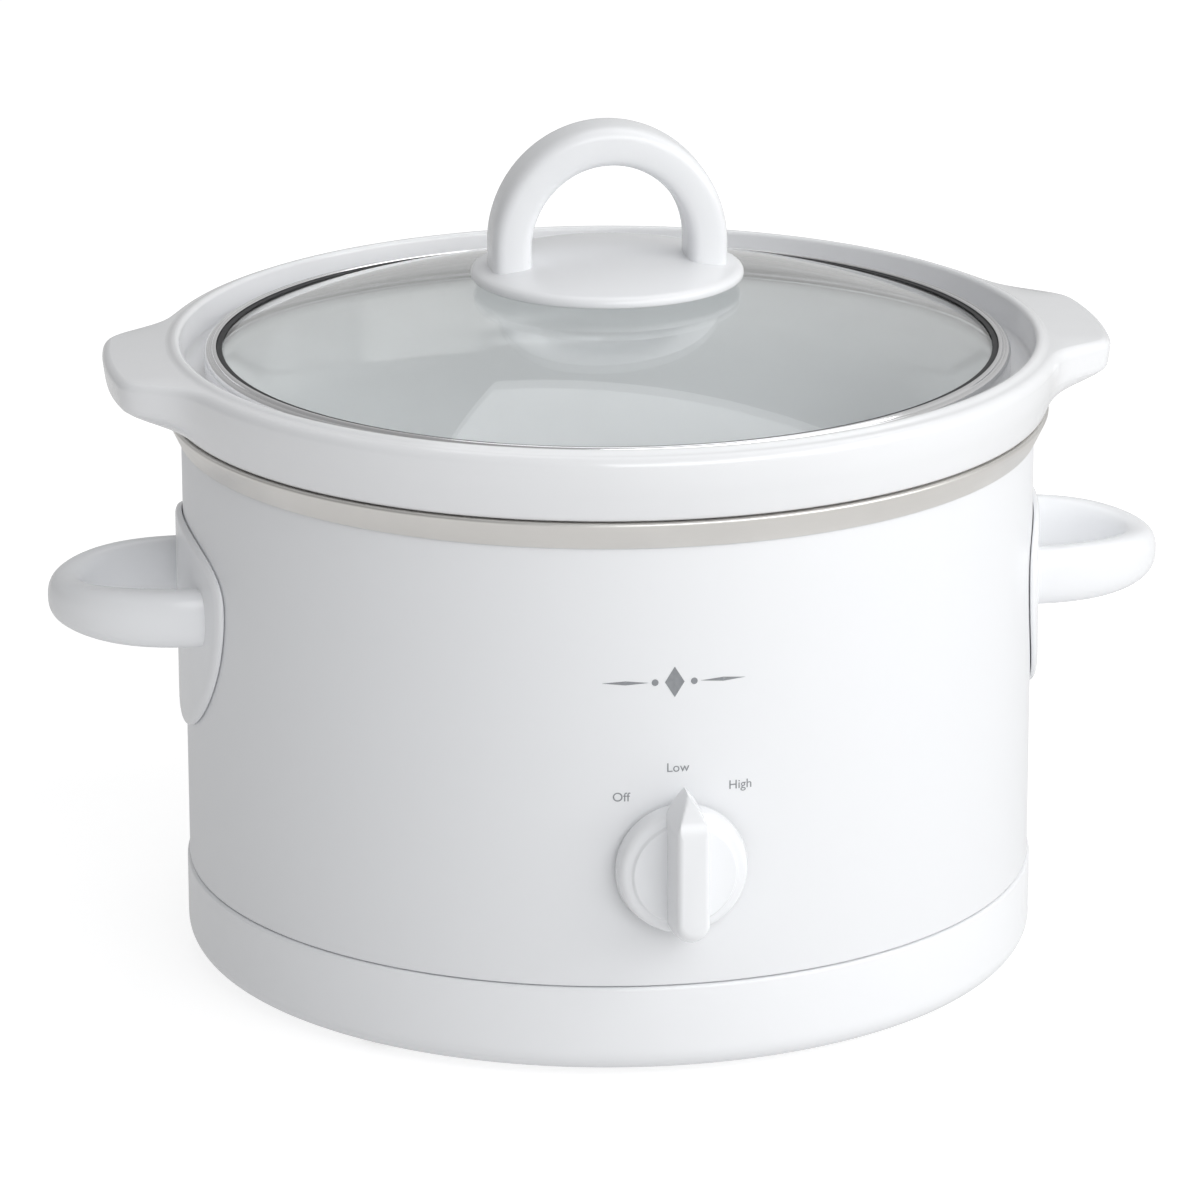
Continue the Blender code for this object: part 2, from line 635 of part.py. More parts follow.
def add_crock(crock):
    top_r = LINER_MOUTH_R - 3.0 * MM
    low_r = 95.5 * MM
    outline = rounded(
        [
            (0.0, CROCK_BOTTOM_Z, 0.0),
            (low_r, CROCK_BOTTOM_Z, 10.0 * MM),
            (top_r, COLLAR_LOW_Z - 3 * MM, 0.0),
            (top_r + 0.5 * MM, COLLAR_LOW_Z, 0.0),
            (COLLAR_R - 3.6 * MM, COLLAR_LOW_Z, 1.2 * MM),
            (COLLAR_R - 1.9 * MM, COLLAR_LOW_Z + 6 * MM, 0.0),
            (COLLAR_R - 0.9 * MM, COLLAR_LOW_Z + 10 * MM, 0.0),
            (COLLAR_R, COLLAR_TOP_Z - 1.6 * MM, 3.0 * MM),
            (RECESS_R + 3.4 * MM, COLLAR_TOP_Z - 0.9 * MM, 0.8 * MM),
            (RECESS_R + 1.9 * MM, COLLAR_TOP_Z, 0.6 * MM),
            (RECESS_R, COLLAR_TOP_Z, 1.2 * MM),
            (RECESS_R - 0.4 * MM, LEDGE_Z, 1.5 * MM),
            (106.0 * MM, LEDGE_Z, 2.0 * MM),
            (top_r - CROCK_WALL, LEDGE_Z - 16 * MM, 6.0 * MM),
            (low_r - CROCK_WALL, CROCK_BOTTOM_Z + CROCK_WALL, 14.0 * MM),
            (0.0, CROCK_BOTTOM_Z + CROCK_WALL, 0.0),
        ],
        2,
    )
    lug = LUG_END_DEG + 1
    between = 180 - 2 * lug
    spans = ((lug, 9), (between, 16), (2 * lug, 18), (between, 16), (lug, 9))
    mesh = lathe("stoneware_crock", outline, spans, shape=with_lugs)
    add_piece("stoneware_crock", mesh, "stoneware_glaze", crock)


# ---------------------------------------------------------------- lid


def dome_height(radius):
    """Top face of the glass above a radius."""
    return GLASS_EDGE_Z + math.sqrt(DOME_R**2 - radius**2) - math.sqrt(DOME_R**2 - GLASS_EDGE_R**2)


def add_glass(lid):
    hole_r = 4.0 * MM
    steps = 4
    top = [hole_r + (GLASS_EDGE_R - hole_r) * step / steps for step in range(steps + 1)]
    outline = [(r, dome_height(r)) for r in top]
    outline += [(r, dome_height(r) - GLASS_THICK) for r in top[::-1]]
    add_piece("lid_glass", lathe("lid_glass", outline), "clear_glass", lid)


def add_rim_band(lid):
    line = [
        (LID_R - 3.4 * MM, GLASS_EDGE_Z + 1.5 * MM),
        (LID_R - 1.2 * MM, GLASS_EDGE_Z + 0.85 * MM),
        (LID_R, GLASS_EDGE_Z - 0.6 * MM),
        (LID_R, LEDGE_Z + GAP),
        (LID_R - 4.0 * MM, LEDGE_Z + GAP),
    ]
    inward = sheet(line[::-1], 0.5 * MM)
    add_piece("lid_rim_band", lathe("lid_rim_band", inward), "polished_steel", lid)


def add_lid_handle(lid):
    seat_z = dome_height(13 * MM) + 1.6 * MM
    flange = rounded(
        [
            (0.0, LID_FLANGE_Z + 6.4 * MM, 0.0),
            (20.0 * MM, LID_FLANGE_Z + 6.0 * MM, 30.0 * MM),
            (LID_FLANGE_R, LID_FLANGE_Z + 3.4 * MM, 1.6 * MM),
            (LID_FLANGE_R, LID_FLANGE_Z, 1.4 * MM),
            (LID_FLANGE_R - 4 * MM, LID_FLANGE_Z + 0.4 * MM, 0.0),
            (14.0 * MM, LID_FLANGE_Z + 2.6 * MM, 0.0),
            (13.0 * MM, seat_z, 0.0),
            (0.0, seat_z, 0.0),
        ],
        2,
    )
    handle = add_piece("lid_handle", lathe("lid_handle", flange, ((360.0, 48),)), "white_plastic", lid)
    base_z = LID_FLANGE_Z + 3.6 * MM
    rise = LOOP_HALF_X + 1.0 * MM
    legs = LOOP_TOP_Z - LOOP_THICK / 2 - base_z - rise
    loop = bail("lid_loop", LOOP_HALF_X, legs, rise, LOOP_THICK, LOOP_DEPTH)
    combine(handle, loop, "UNION", Matrix.Translation((0, 0, base_z)))
    bore = [Matrix.Translation((0, 0, seat_z))]
    combine(handle, cylinders("lid_handle_bore", bore, 2.3 * MM, 8 * MM, 16), "DIFFERENCE")


def add_lid_fixing(lid):
    """Under the handle: a soft gasket on the glass.  Inside the lid: a washer and the handle's screw."""
    crown = dome_height(0)
    gasket = [(4.4, 1.3), (12.6, 1.3), (12.6, 0.3), (4.4, 0.3)]
    mesh = lathe("lid_handle_gasket", [(r * MM, z * MM) for r, z in gasket], ((360.0, 20),))
    add_piece("lid_handle_gasket", mesh, "silicone", lid, (0, 0, crown))
    under = crown - GLASS_THICK
    washer = [(2.9, -0.7), (9.0, -0.7), (9.0, -1.6), (2.9, -1.6)]
    mesh = lathe("lid_handle_washer", [(r * MM, z * MM) for r, z in washer], ((360.0, 20),))
    add_piece("lid_handle_washer", mesh, "polished_steel", lid, (0, 0, under))
    screw = [(0, 8.2), (2.0, 8.2), (2.0, -1.9), (5.0, -1.9), (4.4, -3.4), (2.6, -4.2), (0, -4.2)]
    mesh = lathe("lid_handle_screw", [(r * MM, z * MM) for r, z in screw], ((360.0, 20),))
    add_piece("lid_handle_screw", mesh, "polished_steel", lid, (0, 0, under))


# ---------------------------------------------------------------- dial


def bar_ring(height, half_x, low, limit):
    """One level of the dial's grip: round at its lower end, pointed at its upper end, and level at the limit."""
    side = []
    for share in (0.0, 0.3, 0.55, 0.75, 0.9):
        y = min(limit, DIAL_POINTER - DIAL_POINT * (1 - share))
        side.append((half_x * (1 - share**1.7), y))
    ring = []
    for step in range(9):
        angle = math.pi + math.pi * step / 8
        ring.append((half_x * math.cos(angle), low + half_x * (1 + math.sin(angle))))
    ring += side + [(0.0, min(limit, DIAL_POINTER))] + [(-x, y) for x, y in reversed(side)]
    return [Vector((x, y, height)) for x, y in ring]


def add_dial(dial):
    """The dial's own axes: +Z comes out of the cooker and +Y is up."""
    front = DIAL_SKIRT
    cap = rounded(
        [
            (0.0, front, 0.0),
            (DIAL_R - 4.2 * MM, front, 0.0),
            (DIAL_R - 3.6 * MM, front - 0.9 * MM, 0.0),
            (DIAL_R - 1.0 * MM, front - 1.6 * MM, 2.0 * MM),
            (DIAL_R, 0.0, 0.0),
            (DIAL_R - 2.0 * MM, 0.0, 0.0),
            (DIAL_R - 2.4 * MM, 3.0 * MM, 0.0),
            (0.0, 3.0 * MM, 0.0),
        ],
        3,
    )
    knob = add_piece("dial_knob", lathe("dial_knob", cap, ((360.0, 40),)), "white_plastic", dial)
    half_x = DIAL_BAR_HALF_X
    low = -DIAL_R + 1.0 * MM
    levels = [
        bar_ring(front - 2.6 * MM, half_x + 0.7 * MM, low, DIAL_POINTER),
        bar_ring(front - 0.4 * MM, half_x + 0.5 * MM, low, DIAL_POINTER),
    ]
    # Each end of the bar is rounded off in side view: steeply at the skirt, then over towards the top.
    for share, wide in ((0.3, 1.07), (0.6, 1.0), (0.8, 0.97), (0.926, 0.88), (1.0, 0.62)):
        end = 1 - math.sqrt(1 - share**2)
        height = front + DIAL_BAR * share
        levels.append(bar_ring(height, half_x * wide, low + DIAL_HEEL * end, DIAL_POINTER - DIAL_NOSE * end))
    combine(knob, loft("dial_bar", levels), "UNION")
    bore = [Matrix.Translation((0, 0, 6.0 * MM))]
    combine(knob, cylinders("dial_bore", bore, SHAFT_R + GAP + 0.6 * MM, 10 * MM, 16), "DIFFERENCE")

    shaft_low = SHELL_R - SHELL_WALL - 9 * MM - DIAL_BACK_Y
    shaft = [(0, 10.4 * MM), (SHAFT_R, 10.4 * MM), (SHAFT_R, shaft_low), (0, shaft_low)]
    add_piece("switch_shaft", lathe("switch_shaft", shaft, ((360.0, 16),)), "brass", dial)
    clip = [(3.15, 10.0), (3.7, 10.0), (3.7, 5.0), (3.15, 5.0)]
    clip_mesh = lathe("dial_spring_clip", [(r * MM, z * MM) for r, z in clip], ((290.0, 14),), start_deg=35)
    add_piece("dial_spring_clip", clip_mesh, "polished_steel", dial)


# ---------------------------------------------------------------- the whole cooker


def main():
    clear_scene()
    base = add_empty("base_frame", (0, AXIS_Y, 0))
    crock = add_empty("crock_frame", (0, 0, 0), base)
    lid = add_empty("lid_frame", (0, 0, 0), crock)
    dial = add_empty("dial_frame", (0, -DIAL_BACK_Y, DIAL_Z), base)
    dial.rotation_euler = (math.pi / 2, 0, 0)
    for add in (add_shell, add_base_ring, add_feet, add_bottom_plate, add_centre_fixing, add_liner):
        add(base)
    for add in (add_heating_band, add_thermal_fuse, add_switch, add_leads, add_inlet):
        add(base)
    add_handles(base)
    add_handle_screws(base)
    add_crock(crock)
    for add in (add_glass, add_rim_band, add_lid_handle, add_lid_fixing):
        add(lid)
    add_dial(dial)


main()
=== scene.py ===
"""Looks for a round slow cooker: detailed pieces, finishes, a plain studio and a camera."""

from __future__ import annotations

import json
import logging
import math
from dataclasses import dataclass, field
from enum import Enum
from typing import Sequence

import bmesh
import bpy
from mathutils import Matrix, Vector

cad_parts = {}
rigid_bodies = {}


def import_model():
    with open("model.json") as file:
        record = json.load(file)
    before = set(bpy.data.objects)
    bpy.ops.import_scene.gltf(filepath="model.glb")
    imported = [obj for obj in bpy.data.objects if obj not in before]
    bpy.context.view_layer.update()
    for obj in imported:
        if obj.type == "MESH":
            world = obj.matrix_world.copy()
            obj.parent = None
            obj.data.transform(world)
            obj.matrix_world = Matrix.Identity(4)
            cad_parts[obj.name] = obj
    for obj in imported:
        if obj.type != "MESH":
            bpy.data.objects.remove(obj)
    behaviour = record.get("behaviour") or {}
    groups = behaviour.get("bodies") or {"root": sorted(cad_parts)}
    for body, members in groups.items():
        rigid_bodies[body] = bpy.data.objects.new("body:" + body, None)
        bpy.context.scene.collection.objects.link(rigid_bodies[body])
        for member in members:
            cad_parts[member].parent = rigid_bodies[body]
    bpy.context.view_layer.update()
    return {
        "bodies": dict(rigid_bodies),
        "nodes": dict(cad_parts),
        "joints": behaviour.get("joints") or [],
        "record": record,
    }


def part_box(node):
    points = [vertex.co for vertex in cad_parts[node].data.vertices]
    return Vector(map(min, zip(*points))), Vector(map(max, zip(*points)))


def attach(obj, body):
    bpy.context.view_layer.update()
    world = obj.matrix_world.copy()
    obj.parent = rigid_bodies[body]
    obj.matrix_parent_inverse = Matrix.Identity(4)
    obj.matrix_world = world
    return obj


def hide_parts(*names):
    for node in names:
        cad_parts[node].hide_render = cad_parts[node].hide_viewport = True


LOG = logging.getLogger("slow_cooker")
MM = 0.001
GAP = 0.3 * MM
FULL_TURN = 2 * math.pi
ROUND_STEPS = 192
FINE_STEPS = 96
SMALL_STEPS = 48
DRILL_STEPS = 24
SWEPT_SIDES = 40
SHARP_DEG = 34.0
HANDLE_SHARP_DEG = 42.0
DIAL_SHARP_DEG = 40.0
SEAM_REACH = 1e-6
SLIVER = 1e-7
CUT_SEAM_REACH = 2e-6
CUT_SLIVER = 1e-6
NOISE_LOW = 0.3
NOISE_HIGH = 0.7
Colour = tuple[float, float, float]
BMesh = bmesh.types.BMesh
Socket = bpy.types.NodeSocket


class Body(Enum):
    """The moving bodies of the cooker."""

    BASE = "base"
    CROCK = "crock"
    LID = "lid"
    DIAL = "dial"


class Slot(Enum):
    """The finishes that the record names."""

    SHELL = "enamelled_shell"
    WHITE = "white_plastic"
    GLAZE = "stoneware_glaze"
    ALUMINIUM = "dull_aluminium"
    ZINC = "zinc_steel"
    STEEL = "polished_steel"
    BRASS = "brass"
    RUBBER = "foot_rubber"
    SILICONE = "silicone"
    FABRIC = "element_fabric"
    SLEEVE = "lead_sleeve"
    SWITCH = "switch_plastic"
    GLASS = "lid_glass"


class Side(Enum):
    """The two sides of the cooker, as the way X points there."""

    LEFT = -1
    RIGHT = 1


class Merge(Enum):
    """How two solids are put together."""

    JOIN = "UNION"
    CUT = "DIFFERENCE"


# ---------------------------------------------------------------- meshes


@dataclass(frozen=True)
class Corner:
    """One corner of an outline, and how far its rounding reaches along each side."""

    across: float
    up: float
    ease: float = 0.0
    facets: int = 6


def outline_wire(bm: BMesh, corners: Sequence[Corner], closed: bool) -> None:
    """Draws an outline in the XZ plane and rounds its corners.

    Args:
        bm: The mesh that takes the outline.
        corners: The outline's corners in order.
        closed: Whether the last corner joins the first.
    """
    verts = [bm.verts.new((corner.across, 0.0, corner.up)) for corner in corners]
    following = verts[1:] + verts[:1] if closed else verts[1:]
    for start, end in zip(verts, following):
        bm.edges.new((start, end))
    for vert, corner in zip(verts, corners):
        if corner.ease > 0:
            bmesh.ops.bevel(
                bm,
                geom=[vert],
                offset=corner.ease,
                segments=corner.facets,
                profile=0.5,
                affect="VERTICES",
                material=-1,
            )


def placed(name: str, data: bpy.types.ID) -> bpy.types.Object:
    """Puts a new object that holds some data in the scene."""
    obj = bpy.data.objects.new(name, data)
    bpy.context.scene.collection.objects.link(obj)
    return obj


def tidy_mesh(bm: BMesh) -> None:
    """Closes seams and poles and turns every face outwards."""
    bmesh.ops.remove_doubles(bm, verts=bm.verts[:], dist=SEAM_REACH)
    bmesh.ops.dissolve_degenerate(bm, dist=SLIVER, edges=bm.edges[:])
    bmesh.ops.recalc_face_normals(bm, faces=bm.faces[:])


def turned(*corners: Corner, closed: bool = True, steps: int = ROUND_STEPS) -> BMesh:
    """Turns an outline once round the Z axis.

    Args:
        corners: The outline as distance from the axis and height.
        closed: Whether the outline is a loop; an open one starts and ends on the axis.
        steps: Facets round the axis.

    Returns:
        The closed, turned mesh.
    """
    bm = bmesh.new()
    outline_wire(bm, corners, closed)
    bmesh.ops.spin(
        bm,
        geom=bm.verts[:] + bm.edges[:],
        cent=(0, 0, 0),
        axis=(0, 0, 1),
        angle=FULL_TURN,
        steps=steps,
        use_merge=True,
    )
    tidy_mesh(bm)
    return bm


def add_ring(bm: BMesh, places: Sequence[Vector]) -> list[bmesh.types.BMEdge]:
    """Adds a loop of edges through the given places.

    Args:
        bm: The mesh that takes the loop.
        places: Where the loop's corners stand, in order.

    Returns:
        The loop's edges.
    """
    made = bmesh.ops.create_circle(bm, cap_ends=False, radius=1.0, segments=len(places))["verts"]
    for vert, place in zip(made, places):
        vert.co = place
    return list({edge for vert in made for edge in vert.link_edges})


def lofted(rings: Sequence[Sequence[Vector]], capped: bool = True) -> BMesh:
    """Joins a row of loops into one skin.

    Args:
        rings: The loops, all with the same number of corners.
        capped: Whether the two ends are filled.

    Returns:
        The skin as a mesh.
    """
    bm = bmesh.new()
    loops = [add_ring(bm, ring) for ring in rings]
    for near, far in zip(loops, loops[1:]):
        bmesh.ops.bridge_loops(bm, edges=near + far)
    if capped:
        for loop in (loops[0], loops[-1]):
            bmesh.ops.contextual_create(bm, geom=loop)
    tidy_mesh(bm)
    return bm


def rod(radius: float, length: float, place: Matrix, sides: int = SMALL_STEPS) -> BMesh:
    """A round rod along the Z of a place.

    Args:
        radius: Its radius.
        length: Its whole length, half on each side of the place.
        place: Where it stands and how it is turned.
        sides: Facets round it.

    Returns:
        The rod as a mesh.
    """
    bm = bmesh.new()
    bmesh.ops.create_cone(
        bm, cap_ends=True, segments=sides, radius1=radius, radius2=radius, depth=length, matrix=place
    )
    return bm


def merged(first: BMesh, second: BMesh, how: Merge) -> BMesh:
    """Joins or cuts one solid with another.

    Args:
        first: The solid that is kept.
        second: The solid that is joined to it or cut from it.
        how: Whether it is joined or cut.

    Returns:
        The result, with both inputs used up.
    """
    helpers = []
    for label, bm in (("kept", first), ("tool", second)):
        mesh = bpy.data.meshes.new(label)
        bm.to_mesh(mesh)
        bm.free()
        helpers.append(placed(label, mesh))
    kept, tool = helpers
    modifier = kept.modifiers.new("merge", "BOOLEAN")
    modifier.operation = how.value
    modifier.solver = "EXACT"
    modifier.object = tool
    graph = bpy.context.evaluated_depsgraph_get()
    result = bmesh.new()
    result.from_mesh(kept.evaluated_get(graph).to_mesh())
    for helper in helpers:
        mesh = helper.data
        bpy.data.objects.remove(helper)
        bpy.data.meshes.remove(mesh)
    bmesh.ops.remove_doubles(result, verts=result.verts[:], dist=CUT_SEAM_REACH)
    bmesh.ops.dissolve_degenerate(result, dist=CUT_SLIVER, edges=result.edges[:])
    return result


def shaded(bm: BMesh, sharp_deg: float = SHARP_DEG) -> None:
    """Marks a mesh smooth, apart from edges sharper than an angle."""
    for face in bm.faces:
        face.smooth = True
    limit = math.radians(sharp_deg)
    for edge in bm.edges:
        edge.smooth = len(edge.link_faces) != 2 or edge.calc_face_angle(0.0) < limit


# ---------------------------------------------------------------- finishes


class NodeSheet:
    """Lays out nodes in one tree."""

    def __init__(self, tree: bpy.types.NodeTree) -> None:
        """Starts on a tree."""
        self.tree = tree

    def math(self, how: str, *values: Socket | float) -> Socket:
        """Works out one number.

        Args:
            how: The sum's name.
            values: Its inputs, each a socket or a constant.

        Returns:
            The result's socket.
        """
        node = self.tree.nodes.new("ShaderNodeMath")
        node.operation = how
        for socket, value in zip(node.inputs, values):
            if isinstance(value, (int, float)):
                socket.default_value = value
            else:
                self.tree.links.new(value, socket)
        return node.outputs[0]

    def between(
        self, source: Socket, low: float, high: float, start: float = NOISE_LOW, end: float = NOISE_HIGH
    ) -> Socket:
        """Stretches a pattern over a range.

        Args:
            source: The pattern.
            low: The result where the pattern is at start.
            high: The result where it is at end.
            start: The pattern's low value.
            end: The pattern's high value.

        Returns:
            The stretched pattern.
        """
        node = self.tree.nodes.new("ShaderNodeMapRange")
        for name, value in (("From Min", start), ("From Max", end), ("To Min", low), ("To Max", high)):
            node.inputs[name].default_value = value
        self.tree.links.new(source, node.inputs["Value"])
        return node.outputs["Result"]

    def ray(self, kind: str) -> Socket:
        """Tells whether a ray is of one kind."""
        return self.tree.nodes.new("ShaderNodeLightPath").outputs[kind]

    def split(self, place: Socket) -> bpy.types.NodeOutputs:
        """The X, Y and Z of a place."""
        node = self.tree.nodes.new("ShaderNodeSeparateXYZ")
        self.tree.links.new(place, node.inputs[0])
        return node.outputs

    def flat_place(self, across: Socket, up: Socket) -> Socket:
        """A place made of its X and Y."""
        node = self.tree.nodes.new("ShaderNodeCombineXYZ")
        self.tree.links.new(across, node.inputs["X"])
        self.tree.links.new(up, node.inputs["Y"])
        return node.outputs[0]


class FinishSheet(NodeSheet):
    """Lays out the nodes of one finish round its main shader."""

    def __init__(self, name: str, centre: Vector) -> None:
        """Starts a finish.

        Args:
            name: The finish's name.
            centre: The point that its patterns are centred on.
        """
        self.material = bpy.data.materials.new(name)
        self.material.use_nodes = True
        super().__init__(self.material.node_tree)
        self.shader = self.tree.nodes["Principled BSDF"]
        coords = self.tree.nodes.new("ShaderNodeTexCoord")
        mapping = self.tree.nodes.new("ShaderNodeMapping")
        mapping.inputs["Location"].default_value = (-centre.x, -centre.y, -centre.z)
        self.tree.links.new(coords.outputs["Object"], mapping.inputs["Vector"])
        self.place = mapping.outputs["Vector"]

    def set(self, **values: float | tuple[float, ...]) -> None:
        """Sets constants on the shader's own sockets, named with _ for a space."""
        for name, value in values.items():
            self.shader.inputs[name.replace("_", " ")].default_value = value

    def link(self, source: Socket, socket: str) -> None:
        """Drives one of the shader's sockets."""
        self.tree.links.new(source, self.shader.inputs[socket])

    def noise(self, scale: float, detail: float = 2.0, vector: Socket | None = None) -> Socket:
        """A soft random pattern.

        Args:
            scale: Its frequency in cycles to the metre.
            detail: How many finer layers it has.
            vector: Where it is read, if not the piece's own place.

        Returns:
            The pattern from 0 to 1.
        """
        node = self.tree.nodes.new("ShaderNodeTexNoise")
        node.inputs["Scale"].default_value = scale
        node.inputs["Detail"].default_value = detail
        self.tree.links.new(vector or self.place, node.inputs["Vector"])
        return node.outputs["Fac"]

    def cells(self, scale: float) -> Socket:
        """A pattern of cells, as the distance to the nearest cell's middle.

        Args:
            scale: Cells to the metre.

        Returns:
            The distance.
        """
        node = self.tree.nodes.new("ShaderNodeTexVoronoi")
        node.feature = "F1"
        node.inputs["Scale"].default_value = scale
        self.tree.links.new(self.place, node.inputs["Vector"])
        return node.outputs["Distance"]

    def tint(self, source: Socket, low: Colour, high: Colour) -> Socket:
        """Mixes two colours by a pattern.

        Args:
            source: The pattern, from 0 to 1.
            low: The colour at 0.
            high: The colour at 1.

        Returns:
            The mixed colour.
        """
        node = self.tree.nodes.new("ShaderNodeMix")
        node.data_type = "RGBA"
        # Three sockets share each name here; the colour ones are at 6 and 7.
        node.inputs[6].default_value = (*low, 1.0)
        node.inputs[7].default_value = (*high, 1.0)
        self.tree.links.new(source, node.inputs[0])
        return node.outputs[2]

    def colour(self, pattern: Socket, low: Colour, high: Colour) -> None:
        """Colours the finish by a pattern, from one colour to the other."""
        self.link(self.tint(pattern, low, high), "Base Color")

    def rough(self, pattern: Socket, low: float, high: float, *ends: float) -> None:
        """Makes the finish rough by a pattern, from one value to the other."""
        self.link(self.between(pattern, low, high, *ends), "Roughness")

    def relief(self, height: Socket, strength: float, depth: float) -> None:
        """Adds one layer of surface relief.

        Args:
            height: The relief, from 0 to 1.
            strength: How much of it shows.
            depth: Its depth in metres.
        """
        node = self.tree.nodes.new("ShaderNodeBump")
        node.inputs["Strength"].default_value = strength
        node.inputs["Distance"].default_value = depth
        self.tree.links.new(height, node.inputs["Height"])
        earlier = self.shader.inputs["Normal"].links
        if earlier:
            self.tree.links.new(earlier[0].from_socket, node.inputs["Normal"])
        self.tree.links.new(node.outputs["Normal"], self.shader.inputs["Normal"])

    def clear_shadow(self, colour: Colour) -> None:
        """Lets lamps shine through, so what lies under the glass is lit.

        Args:
            colour: The glass's tint.
        """
        nodes, links = self.tree.nodes, self.tree.links
        clear = nodes.new("ShaderNodeBsdfTransparent")
        clear.inputs["Color"].default_value = (*colour, 1.0)
        mix = nodes.new("ShaderNodeMixShader")
        links.new(self.ray("Is Shadow Ray"), mix.inputs[0])
        links.new(self.shader.outputs[0], mix.inputs[1])
        links.new(clear.outputs[0], mix.inputs[2])
        links.new(mix.outputs[0], nodes["Material Output"].inputs["Surface"])

    def turned_place(self, fine: float) -> Socket:
        """A place that changes only across the marks a lathe leaves, scaled by fine."""
        parts = self.split(self.place)
        across, along = (self.math("POWER", self.math("ABSOLUTE", parts[axis]), 2.0) for axis in "XY")
        reach = self.math("SQRT", self.math("ADD", across, along))
        return self.flat_place(self.math("MULTIPLY", reach, fine), self.math("MULTIPLY", parts["Z"], fine))

    def wrapped_place(self, radius: float) -> Socket:
        """A place unrolled from a drum of that radius: X runs round it and Y up it."""
        parts = self.split(self.place)
        angle = self.math("ARCTAN2", parts["Y"], parts["X"])
        return self.flat_place(self.math("MULTIPLY", angle, radius), parts["Z"])


@dataclass(frozen=True)
class Finish:
    """What every finish has: a name and a colour."""

    name: str
    colour: Colour

    def material(self, centre: Vector) -> bpy.types.Material:
        """Builds the finish's nodes.

        Args:
            centre: The point that its patterns are centred on.

        Returns:
            The material.
        """
        sheet = FinishSheet(self.name, centre)
        self.lay_out(sheet)
        return sheet.material

    def lay_out(self, sheet: FinishSheet) -> None:
        """Lays out the finish on its sheet."""
        raise NotImplementedError

    def shade(self, share: float) -> Colour:
        """The finish's colour, darkened to a share."""
        return (self.colour[0] * share, self.colour[1] * share, self.colour[2] * share)


@dataclass(frozen=True)
class MouldedPlastic(Finish):
    """A hard moulded plastic with a faint flow pattern and fine grain."""

    roughness: float = 0.27
    grain: float = 0.05

    def lay_out(self, sheet: FinishSheet) -> None:
        """Lays out the plastic."""
        flow = sheet.between(sheet.noise(11.0, 0.0), 0.0, 1.0, 0.0, 1.0)
        sheet.colour(flow, self.shade(0.985), self.colour)
        handled = sheet.noise(28.0, 0.0)
        rough = self.roughness
        sheet.rough(handled, rough - 0.012, rough + 0.012, 0.0, 1.0)
        sheet.relief(sheet.noise(2600.0, 1.0), self.grain, 0.03 * MM)
        sheet.set(IOR=1.49, Coat_Weight=0.12, Coat_Roughness=0.12)


@dataclass(frozen=True)
class Enamel(Finish):
    """Baked enamel on sheet steel, with a faint orange peel."""

    def lay_out(self, sheet: FinishSheet) -> None:
        """Lays out the enamel."""
        cloud = sheet.between(sheet.noise(10.0, 0.0), 0.0, 1.0, 0.2, 0.8)
        sheet.colour(cloud, self.shade(0.985), self.colour)
        sheet.rough(sheet.noise(24.0, 1.0), 0.32, 0.38)
        sheet.relief(sheet.noise(520.0, 1.0), 0.08, 0.06 * MM)
        sheet.relief(sheet.noise(2400.0, 2.0), 0.05, 0.03 * MM)
        sheet.set(IOR=1.5, Coat_Weight=0.10, Coat_Roughness=0.20)


@dataclass(frozen=True)
class Glaze(Finish):
    """A thick white glaze over stoneware, slightly wavy, with a few pinholes."""

    def lay_out(self, sheet: FinishSheet) -> None:
        """Lays out the glaze."""
        pool = sheet.between(sheet.noise(16.0, 1.0), 0.0, 1.0, 0.2, 0.8)
        pinhole = sheet.between(sheet.cells(170.0), 0.0, 1.0, 0.012, 0.045)
        depth = sheet.math("MULTIPLY", pool, pinhole)
        sheet.colour(depth, self.shade(0.968), self.colour)
        sheet.rough(sheet.noise(90.0, 3.0), 0.10, 0.17)
        sheet.relief(sheet.noise(60.0, 0.0), 0.16, 0.20 * MM)
        sheet.relief(sheet.noise(420.0, 2.0), 0.05, 0.06 * MM)
        sheet.set(IOR=1.52, Coat_Weight=0.35, Coat_Roughness=0.06)


@dataclass(frozen=True)
class TurnedMetal(Finish):
    """Metal spun or rolled on a lathe, with fine marks that run round it."""

    roughness: float = 0.3
    marks: float = 0.25
    stain: float = 0.9

    def lay_out(self, sheet: FinishSheet) -> None:
        """Lays out the metal."""
        lines = sheet.noise(1.0, 3.0, sheet.turned_place(2600.0))
        stain = sheet.between(sheet.noise(26.0, 4.0), 0.0, 1.0)
        mixed = sheet.math("ADD", sheet.math("MULTIPLY", lines, 0.45), sheet.math("MULTIPLY", stain, 0.55))
        sheet.colour(mixed, self.shade(self.stain), self.colour)
        sheet.rough(lines, self.roughness - 0.06, self.roughness + 0.10)
        sheet.relief(lines, self.marks, 0.04 * MM)
        sheet.set(Metallic=1.0)


@dataclass(frozen=True)
class ZincPlate(Finish):
    """Zinc-plated steel with a faint spangle."""

    def lay_out(self, sheet: FinishSheet) -> None:
        """Lays out the plating."""
        spangle = sheet.between(sheet.cells(220.0), 0.0, 1.0, 0.0, 0.7)
        sheet.colour(spangle, self.shade(0.78), self.colour)
        sheet.rough(sheet.noise(500.0, 3.0), 0.30, 0.48)
        sheet.relief(sheet.noise(1500.0, 2.0), 0.12, 0.04 * MM)
        sheet.set(Metallic=1.0)


